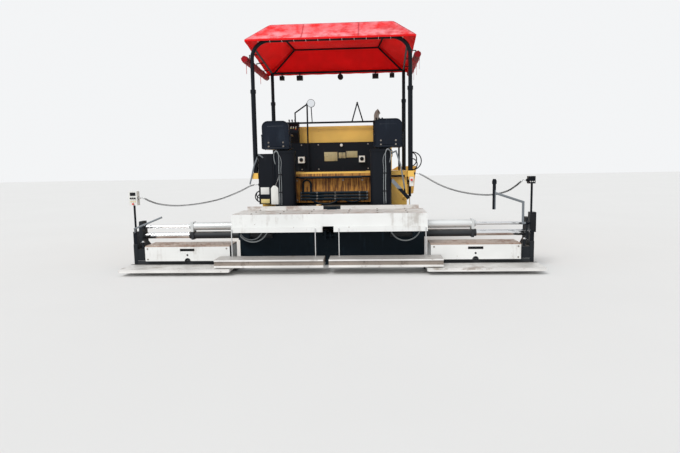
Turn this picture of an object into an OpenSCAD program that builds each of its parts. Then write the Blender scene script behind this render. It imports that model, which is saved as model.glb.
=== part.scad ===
/* [Tracks] */
// Distance between the centre lines of the two tracks
track_gauge = 2240; // [2230:5:2260]
// Width of a track shoe
shoe_w = 305; // [280:5:310]
// Distance between the sprocket and the idler
track_base = 2400; // [2360:10:2440]
// Radius of the sprocket and the idler
wheel_r = 290; // [280:5:300]
// Thickness of the band of links that the wheels run in
band_t = 35; // [30:1:40]
// Height of a shoe's rubber pad
pad_t = 35; // [28:1:40]
// Number of shoes on a track
shoe_count = 42; // [38:1:46]
// Radius of a bottom roller
roller_r = 95; // [85:1:100]

/* [Tractor] */
// Half the width of the chassis between the tracks
chassis_hw = 900; // [880:5:910]
// Height of the chassis floor above the ground
clearance_z = 280; // [260:5:300]
// Height of the operators' platform
platform_z = 1500; // [1480:5:1540]
// Thickness of the platform
platform_t = 110; // [90:5:130]
// Half the width of the platform and of the cabinets over the tracks
side_hw = 1275; // [1275:1:1280]
// Length of the platform
platform_l = 960; // [900:10:1000]
// Half the width of the engine hood
hood_hw = 1050; // [1020:5:1080]
// Height of the hood above the chassis
hood_h = 960; // [900:10:1000]
// Thickness of hood, door and dash panels
panel_t = 30; // [20:1:36]

/* [Hopper] */
// Length of the hopper along the machine
hopper_l = 1950; // [1900:10:2000]
// Half the width of the conveyor floor
floor_hw = 600; // [580:5:610]
// Thickness of the hopper's plates
plate_t = 40; // [30:1:50]
// Half the width across the open hopper wings
wing_hw = 1650; // [1600:10:1700]
// Height of the wings' top edge
wing_z = 1560; // [1500:10:1600]
// Distance between two conveyor slats
slat_pitch = 150; // [130:5:180]

/* [Push rollers] */
// Length of one push roller
push_roller_l = 760; // [700:10:780]
// Radius of a push roller
push_roller_r = 100; // [90:1:110]

/* [Augers] */
// Radius of the auger flights
auger_r = 190; // [170:5:200]
// Advance of a flight in one turn
auger_pitch = 370; // [330:10:400]

/* [Screed] */
// Half the width of the basic screed
screed_hw = 1500; // [1500:1:1504]
// Height of the screed's body
screed_h = 550; // [530:5:560]
// Height of the deck on the screed
deck_z = 880; // [870:5:900]
// Width that an extension adds on its side
extension_w = 1590; // [1580:2:1600]
// Height of an extension's white box
ext_box_h = 226; // [210:2:236]
// Radius of the fat telescoping tube
fat_tube_r = 65; // [58:1:68]
// Radius of the outer guide sleeve
sleeve_r = 57.5; // [54:0.5:60]
// Radius of the inner guide tube
guide_r = 50; // [44:0.5:50]
// Radius of the bright cylinder rod
ext_rod_r = 27; // [20:1:30]

/* [Canopy] */
// How far the canopy posts stand outside the platform
post_out = 45; // [45:1:55]
// Radius of a lower canopy post
post_r = 40; // [38:1:42]
// Height of the joint between the lower and the upper posts
post_joint_z = 2900; // [2850:10:2950]
// Height of the canopy's hoops
hoop_z = 3700; // [3650:10:3720]
// Height of the canopy's rear ridge
canopy_z = 4050; // [4020:5:4080]
// Height of the canopy's front ridge
front_ridge_z = 3905; // [3880:5:3920]
// Length of the canopy along the machine
canopy_l = 2060; // [2040:5:2080]

/* [Hidden] */

seat_gap = 0.3;      // between pieces that seat on each other
move_gap = 5;        // between pieces that pass each other

// Where things are along the machine: +y is forward
sprocket_y = -950;
idler_y = sprocket_y + track_base;
chassis_rear_y = -1300;
chassis_front_y = 1000;
platform_rear_y = -1750;
platform_front_y = platform_rear_y + platform_l;
hopper_front_y = chassis_front_y + hopper_l;
cabinet_rear_y = -1700;
lash_r = 25;         // bore of a lashing eye
lash_t = 30;
post_hw = side_hw + post_out;

// Heights
wheel_z = wheel_r + band_t + pad_t;
track_top_z = 2 * wheel_z;
platform_under_z = platform_z - platform_t;
hood_top_z = platform_under_z + hood_h;
cabinet_under_z = track_top_z + 70;
floor_z = 500;
tunnel_top_z = 900;
bay_floor_z = 960;
track_x = track_gauge / 2;
track_in_x = track_x - shoe_w / 2;

// Shapes on the three planes of the machine
module box(x0, x1, y0, y1, z0, z1) {
  translate([x0, y0, z0]) cube([x1 - x0, y1 - y0, z1 - z0]);
}

module along_x(x0, x1) {
  translate([x0, 0, 0]) rotate([90, 0, 90]) linear_extrude(x1 - x0) children();
}

module along_y(y0, y1) {
  translate([0, y1, 0]) rotate([90, 0, 0]) linear_extrude(y1 - y0) children();
}

module along_z(z0, z1) {
  translate([0, 0, z0]) linear_extrude(z1 - z0) children();
}

module rod_x(x0, x1, y, z, r) {
  translate([x0, y, z]) rotate([0, 90, 0]) cylinder(h = x1 - x0, r = r, $fn = 48);
}

module rod_y(y0, y1, x, z, r) {
  translate([x, y1, z]) rotate([90, 0, 0]) cylinder(h = y1 - y0, r = r, $fn = 48);
}

module rod_z(z0, z1, x, y, r) {
  translate([x, y, z0]) cylinder(h = z1 - z0, r = r, $fn = 48);
}

// A round bar from one point to another
module bar(from, to, r) {
  run = to - from;
  flat = norm([run[0], run[1]]);
  translate(from) rotate([0, atan2(flat, run[2]), atan2(run[1], run[0])])
    cylinder(h = norm(run), r = r, $fn = 32);
}

// A chain of round bars, with a ball a little wider than they are at each corner
ball_rim = 1.5;
module pipe(points, r) {
  for (i = [1 : len(points) - 1]) bar(points[i - 1], points[i], r);
  for (i = [1 : len(points) - 2]) translate(points[i]) sphere(r = r + ball_rim, $fn = 32);
}

// A block with round upright edges
module round_block(x0, x1, y0, y1, z0, z1, r) {
  along_z(z0, z1) union() {
    translate([x0 + r, y0]) square([x1 - x0 - 2 * r, y1 - y0]);
    translate([x0, y0 + r]) square([x1 - x0, y1 - y0 - 2 * r]);
    for (x = [x0 + r, x1 - r], y = [y0 + r, y1 - r]) translate([x, y]) circle(r = r, $fn = 48);
  }
}

// Half a ring of hose standing out of a wall, turned about the upright axis
module hose_loop(at, turn, loop_r, r) {
  translate(at) rotate([90, 0, turn]) rotate([0, 0, -90]) rotate_extrude(angle = 180, $fn = 40)
    translate([loop_r, 0]) circle(r = r, $fn = 20);
}

module on_left() {
  mirror([1, 0, 0]) children();
}

module on_both() {
  children();
  on_left() children();
}

// A plate's outline: an open line of points, thickened to its left by t with mitred corners
function unit(v) = v / norm(v);
function left_of(v) = [-v[1], v[0]];
function heading(p, i) = unit(p[i + 1] - p[i]);
function mitred(p, i, t) =
  let (last = len(p) - 1,
       before = left_of(heading(p, max(i - 1, 0))),
       after = left_of(heading(p, min(i, last - 1))),
       corner = unit(before + after))
  p[i] + corner * t / (corner * before);
function strip(p, t) = concat(p, [for (i = [len(p) - 1 : -1 : 0]) mitred(p, i, t)]);

// Tracks: a loop of shoes around the sprocket and the idler
track_r = wheel_r + band_t;
turn_l = PI * track_r;
shoe_pitch = 2 * (track_base + turn_l) / shoe_count;
// columns: share of the shoe's pitch, share of the pad's height
shoe_shape = [[0.03, 0], [0.08, 1], [0.92, 1], [0.97, 0]];

function around(y, angle, out) =
  [y + (track_r + out) * cos(angle), wheel_z + (track_r + out) * sin(angle)];
function loop_at(s, out) =
  s < track_base ? [sprocket_y + s, wheel_z - track_r - out]
  : s < track_base + turn_l ? around(idler_y, (s - track_base) / turn_l * 180 - 90, out)
  : s < 2 * track_base + turn_l ? [idler_y - (s - track_base - turn_l), wheel_z + track_r + out]
  : around(sprocket_y, (s - 2 * track_base - turn_l) / turn_l * 180 + 90, out);

module track_loop() {
  color("dimgray") along_x(track_in_x, track_in_x + shoe_w) difference() {
    polygon([for (k = [0 : shoe_count - 1], corner = shoe_shape)
      loop_at((k + corner[0]) * shoe_pitch, corner[1] * pad_t)]);
    translate([sprocket_y, wheel_z]) circle(r = wheel_r, $fn = 96);
    translate([idler_y, wheel_z]) circle(r = wheel_r, $fn = 96);
    translate([sprocket_y, wheel_z - wheel_r]) square([track_base, 2 * wheel_r]);
  }
}

// What the track runs on: the beam, sprocket, idler and rollers, in one piece
beam_in_x = track_in_x + 40;
beam_z = [210, 440];
mount_y = [-560, 640];      // where the beam's two brackets meet the chassis
mount_l = 220;
tooth_count = 12;
tooth_h = 40;
bottom_roller_count = 6;
top_roller_y = [-150, 650];
top_roller_r = 65;

module sprocket() {
  rim = wheel_r - seat_gap;
  along_x(track_x - 40, track_x + 40) translate([sprocket_y, wheel_z]) union() {
    circle(r = rim - tooth_h, $fn = 64);
    for (k = [0 : tooth_count - 1]) rotate(k * 360 / tooth_count)
      polygon([[rim - tooth_h - 10, -38], [rim - 0.7, -20], [rim - 0.7, 20], [rim - tooth_h - 10, 38]]);
  }
  rod_x(beam_in_x, track_x + 125, sprocket_y, wheel_z, 150);
  rod_x(track_x + 124, track_x + 150, sprocket_y, wheel_z, 105);
}

module idler() {
  difference() {
    rod_x(track_x - 55, track_x + 55, idler_y, wheel_z, wheel_r - seat_gap);
    rod_x(track_x + 25, track_x + 56, idler_y, wheel_z, wheel_r - 60);
    for (k = [0 : 5]) translate([0, idler_y, wheel_z]) rotate([k * 60, 0, 0])
      rod_x(track_x - 60, track_x + 60, 0, 165, 38);
  }
  rod_x(beam_in_x, track_x + 70, idler_y, wheel_z, 80);
}

module track_frame() {
  color("darkslategray") {
    sprocket();
    idler();
    box(track_x - 65, track_x + 65, sprocket_y + 380, idler_y - 380, beam_z[0], beam_z[1]);
    along_x(beam_in_x, beam_in_x + 40) polygon([
      [sprocket_y - 60, wheel_z - 60], [sprocket_y + 330, beam_z[0]], [idler_y - 330, beam_z[0]],
      [idler_y + 60, wheel_z - 50], [idler_y + 60, wheel_z + 50], [idler_y - 330, beam_z[1]],
      [sprocket_y + 330, beam_z[1]], [sprocket_y - 60, wheel_z + 60]]);
    box(beam_in_x, track_x, sprocket_y + 380, idler_y - 380, beam_z[0] + 20, beam_z[1] - 20);
    low_z = pad_t + band_t + roller_r + seat_gap;
    for (k = [0 : bottom_roller_count - 1]) {
      y = sprocket_y + 400 + k * (track_base - 800) / (bottom_roller_count - 1);
      rod_x(track_x - 95, track_x + 95, y, low_z, roller_r);
      rod_x(track_x - 110, track_x + 110, y, low_z, 30);
    }
    high_z = wheel_z + wheel_r - top_roller_r - seat_gap;
    for (y = top_roller_y) {
      rod_x(track_x - 70, track_x + 70, y, high_z, top_roller_r);
      box(track_x - 20, track_x + 20, y - 40, y + 40, beam_z[1] - 10, high_z);
    }
    for (y = mount_y) box(chassis_hw, beam_in_x + 10, y - mount_l / 2, y + mount_l / 2, 270, 420);
  }
}

// Chassis between the tracks, with the conveyor tunnel and the engine bay
tail_rear_y = -1500;
bay_wall = 60;
tail_hw = floor_hw + plate_t;

module main_frame() {
  color("#3a3a38") {
    difference() {
      along_y(chassis_rear_y, chassis_front_y) polygon([
        [-chassis_hw, clearance_z + 80], [-chassis_hw + 80, clearance_z],
        [chassis_hw - 80, clearance_z], [chassis_hw, clearance_z + 80],
        [chassis_hw, platform_under_z], [-chassis_hw, platform_under_z]]);
      box(-floor_hw, floor_hw, chassis_rear_y - 1, chassis_front_y + 1, floor_z, tunnel_top_z);
      box(-chassis_hw + bay_wall, chassis_hw - bay_wall, platform_front_y + bay_wall,
          chassis_front_y - bay_wall, bay_floor_z, platform_under_z + 1);
    }
    difference() {
      box(-tail_hw, tail_hw, tail_rear_y, chassis_rear_y, floor_z - 60, floor_z + 200);
      box(-floor_hw, floor_hw, tail_rear_y - 1, chassis_rear_y + 1, floor_z, floor_z + 201);
    }
  }
}

// Cabinets over the tracks, with the tow point and the lift cylinder's bracket on their outer side
tow_y = 700;
tow_z = 550;
tow_pin_r = 30;
arm_x = [side_hw + 55, side_hw + 115];
lift_top = [-1180, 1300];    // y and z of the lift cylinder's upper pin
lift_pin_r = 18;
bracket_x = side_hw + move_gap * 2;
tow_plate_hl = 130;
front_post_y = -100;

module side_cabinet() {
  color("#d29a2e") {
    box(chassis_hw, side_hw, cabinet_rear_y, chassis_front_y, cabinet_under_z, platform_under_z);
    // cabinet door panels on the outer side
    for (y = [[-1050, -510], [-440, 100], [170, tow_y - tow_plate_hl - 20]])
      box(side_hw - 1, side_hw + 8, y[0], y[1], cabinet_under_z + 60, platform_under_z - 150);
  }
  color("#3a3a38") {
    // lashing eye on the rear side
    difference() {
      along_x(side_hw - 75, side_hw - 75 + lash_t) polygon([[cabinet_rear_y + 1, 990],
        [cabinet_rear_y - 35, 1000], [cabinet_rear_y - 62, 1040], [cabinet_rear_y - 35, 1080],
        [cabinet_rear_y + 1, 1090]]);
      rod_x(side_hw - 76, side_hw - 74 + lash_t, cabinet_rear_y - 28, 1040, 18);
    }
    // foot of the front canopy post
    box(side_hw - 1, post_hw + post_r + 15, front_post_y - 70, front_post_y + 70,
        platform_under_z - 90, platform_under_z);
  }
}

// What carries the screed: a plate down past each track with the tow arm's pin, and the lift pins
module tow_brackets() {
  seat_x0 = side_hw + seat_gap;
  color("#3a3a38") on_both() {
    box(seat_x0, side_hw + 25, tow_y - tow_plate_hl, tow_y + tow_plate_hl, cabinet_under_z,
        cabinet_under_z + 200);
    along_x(bracket_x, bracket_x + 35) polygon([
      [tow_y - tow_plate_hl, cabinet_under_z + 200], [tow_y - 80, tow_z - 90], [tow_y + 80, tow_z - 90],
      [tow_y + tow_plate_hl, cabinet_under_z + 200]]);
    rod_x(bracket_x, arm_x[1] + 30, tow_y, tow_z, tow_pin_r);
    box(seat_x0, arm_x[0] - move_gap, lift_top[0] - 60, lift_top[0] + 60, lift_top[1] - 60,
        platform_under_z);
    rod_x(seat_x0, arm_x[1] + 12, lift_top[0], lift_top[1], lift_pin_r);
  }
}

// Engine: one plain block, and its hood of panels with a door on each side
door_y = [20, 860];
door_z = [platform_under_z + 90, platform_under_z + 780];
door_gap = 6;
hood_edge = 90;      // chamfer along the hood's top edges
hinge_r = 14;
door_t = 26;

engine_hw = 420;
engine_y = [-450, 650];
engine_top_z = 1950;

module engine_block() {
  color("#5a5d5f") box(-engine_hw, engine_hw, engine_y[0], engine_y[1], bay_floor_z, engine_top_z);
}

function hood_outline(inset) = [
  [-hood_hw + inset, platform_under_z - (inset > 0 ? 1 : 0)],
  [hood_hw - inset, platform_under_z - (inset > 0 ? 1 : 0)],
  [hood_hw - inset, hood_top_z - hood_edge], [hood_hw - hood_edge - inset, hood_top_z - inset],
  [-hood_hw + hood_edge + inset, hood_top_z - inset], [-hood_hw + inset, hood_top_z - hood_edge]];

module engine_hood() {
  color("#e0a62c") {
    difference() {
      along_y(platform_front_y, chassis_front_y) polygon(hood_outline(0));
      along_y(platform_front_y + panel_t, chassis_front_y - panel_t) polygon(hood_outline(panel_t));
      on_both() box(hood_hw - panel_t - 1, hood_hw + 1, door_y[0], door_y[1], door_z[0], door_z[1]);
      // air outlet slots in the front wall, over the hopper
      for (k = [0 : 7]) box(-620, 620, chassis_front_y - panel_t - 1, chassis_front_y + 1,
                            hood_top_z - 620 + k * 60, hood_top_z - 590 + k * 60);
    }
    // hinge knuckles of the doors
    on_both() for (z = [door_z[0] + 60, door_z[1] - 160])
      rod_z(z, z + 100, hood_hw + hinge_r - 2, door_y[1] + 24, hinge_r);
  }
  // grille bars on the top
  color("#2b2b2b") for (k = [0 : 9])
    box(-700, 700, -150 + k * 80, -110 + k * 80, hood_top_z - 1, hood_top_z + 14);
}

module engine_door() {
  hinge_x = hood_hw + hinge_r - 2;
  hinge_y = door_y[1] + 24;
  color("#e0a62c") difference() {
    union() {
      box(hood_hw - panel_t + door_gap, hood_hw - panel_t + door_gap + door_t, door_y[0] + door_gap,
          door_y[1] - door_gap, door_z[0] + door_gap, door_z[1] - door_gap);
      // strap hinges between the hood's knuckles
      for (z = [door_z[0] + 160 + seat_gap, door_z[1] - 60 + seat_gap]) {
        rod_z(z, z + 50, hinge_x, hinge_y, hinge_r - 3);
        box(hood_hw + 2, hood_hw + 8, door_y[1] - 90, hinge_y, z + 8, z + 42);
      }
    }
    for (k = [0 : 7]) box(hood_hw - panel_t, hood_hw + 10, door_y[0] + 90, door_y[1] - 150,
                          door_z[0] + 90 + k * 62, door_z[0] + 118 + k * 62);
  }
}

module exhaust() {
  color("#55504c") {
    rod_z(hood_top_z, hood_top_z + 60, 780, 700, 80);
    rod_z(hood_top_z, hood_top_z + 300, 780, 700, 55);
    translate([780, 700, hood_top_z + 300]) rotate([90, 0, 180]) translate([-120, 0, 0])
      rotate_extrude(angle = 60, $fn = 48) translate([120, 0]) circle(r = 55, $fn = 48);
  }
}

// Hopper: fixed floor between the folding wings
wing_hinge = [690, 600];      // x and z
wing_rear_y = chassis_front_y + 20;
wing_front_y = hopper_front_y - 20;
wing_pin_r = 18;
// columns: x, z of the wing's inner face from the hinge out to the top edge
wing_line = [[wing_hinge[0] + 20, wing_hinge[1] + 24], [980, 850], [wing_hw - 90, 990],
             [wing_hw - plate_t, wing_z]];

module hopper_bed() {
  color("#6a6258") {
    box(-floor_hw - 60, floor_hw + 60, chassis_front_y, hopper_front_y, floor_z - 60, floor_z);
    on_both() {
      box(floor_hw, floor_hw + 60, chassis_front_y, hopper_front_y, floor_z - 1, 560);
      // lugs that hold the wing's hinge pins
      for (y = [[chassis_front_y, wing_rear_y - move_gap], [wing_front_y + move_gap, hopper_front_y]])
        difference() {
          along_y(y[0], y[1]) polygon([[floor_hw, 500], [wing_hinge[0] + 20, 500],
            [wing_hinge[0] + 45, 580], [wing_hinge[0] + 45, 625], [wing_hinge[0] + 20, 645],
            [floor_hw, 645]]);
          rod_y(y[0] - 1, y[1] + 1, wing_hinge[0], wing_hinge[1], wing_pin_r + seat_gap);
        }
      // beams below the floor
      box(floor_hw - 80, floor_hw + 60, chassis_front_y, hopper_front_y, floor_z - 200, floor_z - 59);
    }
    // brackets of the hopper cylinders
    on_both() {
      for (y = [jack_y - jack_eye_hw - move_gap - 10, jack_y + jack_eye_hw + move_gap])
        along_y(y, y + 10) polygon([[floor_hw + 59, jack_foot[1] - 70], [jack_foot[0] + 10, jack_foot[1] - 32],
          [jack_foot[0] + 32, jack_foot[1]], [jack_foot[0] + 10, jack_foot[1] + 32],
          [floor_hw + 59, jack_foot[1] + 40]]);
      rod_y(jack_y - jack_eye_hw - move_gap - 10, jack_y + jack_eye_hw + move_gap + 10, jack_foot[0],
            jack_foot[1], jack_pin_r);
      // lashing eyes
      difference() {
        along_x(floor_hw - 60, floor_hw - 60 + lash_t) polygon([[hopper_front_y - 1, 320],
          [hopper_front_y + 60, 335], [hopper_front_y + 85, 380], [hopper_front_y + 60, 425],
          [hopper_front_y - 1, 435]]);
        rod_x(floor_hw - 61, floor_hw, hopper_front_y + 42, 380, lash_r);
      }
    }
    for (y = [chassis_front_y + 700, hopper_front_y - 160])
      box(-floor_hw + 79, floor_hw - 79, y, y + 100, floor_z - 180, floor_z - 59);
  }
  // front apron and the clevis of the push beam
  color("#33302d") {
    box(-floor_hw - 40, floor_hw + 40, hopper_front_y - 1, hopper_front_y + apron_t,
        floor_z - 60, 720);
    for (z = clevis_z) box(-clevis_hw, clevis_hw, hopper_front_y - 40, pivot_y + 45, z, z + clevis_t);
    rod_z(clevis_z[0] - 25, clevis_z[1] + clevis_t + 15, 0, pivot_y, pivot_r);
  }
}

module hopper_wing() {
  color("#d29a2e") {
    along_y(wing_rear_y, wing_front_y) polygon(strip(wing_line, -plate_t));
    rod_y(wing_rear_y, wing_front_y, wing_hinge[0], wing_hinge[1], 32);
    rod_y(chassis_front_y + 2, hopper_front_y - 2, wing_hinge[0], wing_hinge[1], wing_pin_r);
    along_y(wing_rear_y, wing_front_y) polygon([[wing_hinge[0] + 5, wing_hinge[1] - 8],
      [wing_hinge[0] + 60, wing_hinge[1] + 8], [wing_hinge[0] + 40, wing_hinge[1] + 45],
      [wing_hinge[0] - 5, wing_hinge[1] + 12]]);
    // lug of the hopper cylinder, with its pin's heads on the outer sides
    for (y = [jack_y - jack_eye_hw - move_gap - 10, jack_y + jack_eye_hw + move_gap]) {
      along_y(y, y + 10) polygon([[jack_head[0] - 60, 850], [jack_head[0] - 25, jack_head[1] - 25],
        [jack_head[0] + 25, jack_head[1] - 25], [jack_head[0] + 70, 880]]);
      out = y < jack_y ? -9 : 9;
      rod_y(y + min(out, 0), y + 10 + max(out, 0), jack_head[0], jack_head[1], jack_pin_r + 3);
    }
    // end walls of the wing
    along_y(wing_rear_y, wing_rear_y + plate_t) polygon([[740, 640], [980, 830],
      [wing_hw - 80, 970], [wing_hw - 10, wing_z], [1250, wing_z], [840, 1330]]);
    along_y(wing_front_y - plate_t, wing_front_y) polygon([[740, 640], [980, 830],
      [wing_hw - 80, 970], [wing_hw - 25, wing_z - 120], [1330, wing_z - 300], [860, 880]]);
    // rim and ribs on the outer side
    box(wing_hw - plate_t - 20, wing_hw + 30, wing_rear_y, wing_front_y, wing_z - 40, wing_z);
    for (k = [0 : 3]) {
      y = wing_rear_y + 200 + k * (hopper_l - 460) / 3;
      along_y(y, y + 30) polygon([[wing_hw - 100, 940], [wing_hw - 60, 930],
        [wing_hw + 30, wing_z - 41], [wing_hw - 20, wing_z - 41]]);
    }
  }
}

// Hopper cylinders: from a bracket on the floor's beam to a lug under the wing
jack_foot = [800, 400];      // x and z of the barrel's pin
jack_head = [1200, 800];     // x and z of the rod's eye
jack_y = 2350;
jack_pin_r = 14;
jack_eye_hw = 20;
jack_l = norm(jack_head - jack_foot);
jack_lean = atan2(jack_head[0] - jack_foot[0], jack_head[1] - jack_foot[1]);
jack_barrel_l = 350;
jack_barrel_r = 38;
jack_rod_r = 18;

module at_jack() {
  translate([jack_foot[0], jack_y, jack_foot[1]]) rotate([0, jack_lean, 0]) children();
}

module wing_barrel() {
  color("#3c3c3a") at_jack() difference() {
    union() {
      rod_z(46, jack_barrel_l, 0, 0, jack_barrel_r);
      rod_z(22, 47, 0, 0, jack_eye_hw - 2);
      rod_y(-jack_eye_hw, jack_eye_hw, 0, 0, 30);
    }
    rod_y(-jack_eye_hw - 1, jack_eye_hw + 1, 0, 0, jack_pin_r + seat_gap);
    rod_z(50, jack_barrel_l + 1, 0, 0, jack_rod_r + seat_gap);
  }
}

module wing_rod() {
  color("#c9cbcc") at_jack() difference() {
    union() {
      rod_z(110, jack_l - 20, 0, 0, jack_rod_r);
      rod_y(-jack_eye_hw, jack_eye_hw, 0, jack_l, 28);
    }
    rod_y(-jack_eye_hw - 1, jack_eye_hw + 1, 0, jack_l, jack_pin_r);
  }
}

// Slat conveyor: two chains of bars that carry the mix through the tunnel
conveyor_hw = 265;
conveyor_x = 300;
conveyor_rear_y = tail_rear_y - 20;
slat_w = 45;
slat_h = 26;
wear_t = 14;
link_t = 10;
link_h = 46;

module slat_conveyor() {
  count = floor((hopper_front_y - 80 - conveyor_rear_y) / slat_pitch);
  color("#7d746b") for (side = [-1, 1]) translate([side * conveyor_x, 0, 0]) {
    box(-conveyor_hw, conveyor_hw, conveyor_rear_y, hopper_front_y - 20, floor_z, floor_z + wear_t);
    for (k = [0 : count - 1]) {
      y = conveyor_rear_y + 60 + k * slat_pitch;
      along_x(-conveyor_hw + 30, conveyor_hw - 30) polygon([[y, floor_z + wear_t - 1],
        [y + slat_w, floor_z + wear_t - 1], [y + slat_w - 10, floor_z + wear_t + slat_h],
        [y + 10, floor_z + wear_t + slat_h]]);
      // chain links at both ends of the slat, lapping the next pair
      for (end = [-1, 1]) {
        lap = (k % 2) * link_t;
        x = end * (conveyor_hw - 22) - link_t / 2 + end * lap;
        box(x, x + link_t, y - 20, y + slat_pitch + 20, floor_z + wear_t - 1,
            floor_z + wear_t + link_h);
      }
    }
  }
}

// Push beam on a vertical pivot, with two rollers for the truck's wheels
apron_t = 25;
clevis_hw = 130;
clevis_t = 30;
clevis_z = [410, 690];
pivot_y = hopper_front_y + 110;
pivot_r = 30;
beam_front_y = pivot_y + 130;
push_hw = 60 + push_roller_l + 25;
roller_y = beam_front_y + push_roller_r + 10;
roller_z = 560;
stub_r = 22;
cheek_t = 20;

module push_beam() {
  color("#d29a2e") {
    difference() {
      along_z(clevis_z[0] + clevis_t + move_gap, clevis_z[1] - move_gap) polygon([
        [-push_hw, beam_front_y], [-push_hw, beam_front_y - 90], [-170, pivot_y - 20],
        [-70, pivot_y - 55], [70, pivot_y - 55], [170, pivot_y - 20],
        [push_hw, beam_front_y - 90], [push_hw, beam_front_y]]);
      rod_z(clevis_z[0], clevis_z[1] + clevis_t, 0, pivot_y, pivot_r + seat_gap);
    }
    on_both() for (x = [30, 60 + push_roller_l + move_gap]) difference() {
      along_x(x, x + cheek_t) polygon([[beam_front_y - 1, 470], [roller_y + 20, 500],
        [roller_y + 45, roller_z], [roller_y + 20, 620], [beam_front_y - 1, 650]]);
      rod_x(x - 1, x + cheek_t + 1, roller_y, roller_z, stub_r + seat_gap);
    }
  }
}

module push_roller() {
  x0 = 30 + cheek_t + move_gap;
  x1 = 60 + push_roller_l;
  color("#8d8a85") {
    rod_x(x0, x1, roller_y, roller_z, push_roller_r);
    rod_x(x0 - move_gap - cheek_t, x1 + move_gap + cheek_t, roller_y, roller_z, stub_r);
  }
}

// Operators' platform, with a beam along each side that carries the rear canopy posts
rear_post_y = -1950;
rail_w = 100;

module platform() {
  color("#e0a62c") {
    box(-side_hw, side_hw, platform_rear_y, platform_front_y, platform_under_z, platform_z);
    on_both() box(side_hw - 1, side_hw + rail_w, rear_post_y - 60, platform_rear_y + 500,
                  platform_under_z + 10, platform_z);
  }
  // gland of the right curly cord
  color("#1d1d1f") rod_x(side_hw + rail_w - 1, 1400.7, -1980, 1450, 20);
  // valve with its knob under the right beam
  valve_x = side_hw + rail_w / 2 + 10;
  color("#e8e6df") box(valve_x - 34, valve_x + 34, rear_post_y - 55, rear_post_y + 5,
                       platform_under_z - 150, platform_under_z + 11);
  color("#c8321e") rod_y(rear_post_y - 80, rear_post_y - 54, valve_x, platform_under_z - 45, 20);
}

// Dash between the operators, and a steering console before each seat
dash_hw = 930;
dash_z = 2040;
console_z = 2440;

module dash_console() {
  color("#1d1e20") {
    box(-dash_hw, dash_hw, platform_front_y - 90, platform_front_y, platform_z, dash_z);
    on_both() along_x(700, 1000) polygon([[platform_front_y - 90, dash_z - 1],
      [platform_front_y, dash_z - 1], [platform_front_y, console_z],
      [platform_front_y - 40, console_z], [platform_front_y - 200, console_z - 160],
      [platform_front_y - 200, console_z - 210]]);
  }
  color("#e8e6df") {
    translate([100, platform_front_y - 89, 1985]) rotate([90, 0, 0]) cylinder(h = 45, r = 26, $fn = 32);
    box(-720, -600, platform_front_y - 180, platform_front_y - 89, 1660, 1780);
    box(430, 540, platform_front_y - 180, platform_front_y - 89, 1660, 1780);
  }
}

rail_r = 17;
rail_y = platform_front_y - 140;
rail_z = 2410;
rail_hw = 1180;

module handrails() {
  color("#2a2c2e") {
    pipe([[-rail_hw, rail_y, platform_z], [-rail_hw, rail_y, rail_z], [rail_hw, rail_y, rail_z],
          [rail_hw, rail_y, platform_z]], rail_r);
    bar([-530, rail_y, platform_z], [-530, rail_y, 2780], rail_r - 2);
    pipe([[-760, rail_y, rail_z], [-760, rail_y, 2600], [-530, rail_y, 2755]], rail_r - 4);
    for (foot = [305, 515]) bar([foot, rail_y + 1, rail_z - 5], [410, rail_y + 1, 2760], rail_r - 5);
    translate([410, rail_y + 1, 2760]) sphere(r = rail_r, $fn = 32);
    // mirror on its stick
    bar([-440, rail_y, rail_z], [-455, rail_y, 2710], 9);
    translate([-455, rail_y + 14, 2770]) rotate([90, 0, 0]) cylinder(h = 28, r = 75, $fn = 48);
  }
}

// Seats on their columns
column_x = [640, 1000];
column_y = [-2060, platform_rear_y];
column_edge_r = 105;
column_foot_z = 900;
column_z = 1870;
seat_x = 950;
swivel = [880, -1800];      // x and y of the seat's turning axis
seat_hw = 230;
seat_z = 1930;

module seat_columns() {
  color("#1b1b1d") on_both() {
    round_block(column_x[0], column_x[1], column_y[0], column_y[1], column_foot_z + 24, column_z,
                column_edge_r);
    round_block(column_x[0] - 35, column_x[1] + 20, column_y[0] + 5, column_y[1] - 5, column_foot_z,
                column_foot_z + 25, column_edge_r + 15);
    round_block(column_x[0] - 10, column_x[1] + 10, column_y[0] - 8, column_y[1], column_z - 40,
                column_z - 10, column_edge_r);
  }
  // cabinet on the outer side of the left column
  color("#1d1d1f") {
    box(-side_hw + 5, -column_x[1] + column_edge_r, -1990, -1780, column_foot_z + 65, column_z - 45);
    box(-side_hw + 25, -column_x[1] - 25, -1998, -1989, column_foot_z + 160, column_z - 80);
    // gland of the left curly cord
    rod_x(-1295.7, -side_hw + 6, -1900, 1300, 20);
    // hoses that loop out of the cabinet's side
    hose_loop([-side_hw + 13, -1930, 1095], 172, 92, 9);
    hose_loop([-side_hw + 13, -1850, 1060], 195, 72, 9);
    hose_loop([-side_hw + 13, -1960, 1130], 205, 60, 9);
  }
  // grab bars at the operators' outer sides
  color("#6d6f71") {
    pipe([[-side_hw + 95, -1994, 1760], [-side_hw + 25, -2025, 1815], [-side_hw - 60, -2025, 1620],
          [-side_hw - 140, -2025, 1310]], 13);
    pipe([[column_x[1] - 20, -1980, 1790], [column_x[1] + 75, -2035, 1830],
          [column_x[1] + 150, -2035, 1600], [column_x[1] + 205, -2035, 1290],
          [column_x[1] + 225, -1985, 1130]], 13);
  }
  // folded step beside the right column
  color("#1b1b1d") translate([column_x[1] - 20, -2000, 1330]) rotate([0, 48, 0]) cube([430, 46, 60]);
}

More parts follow.
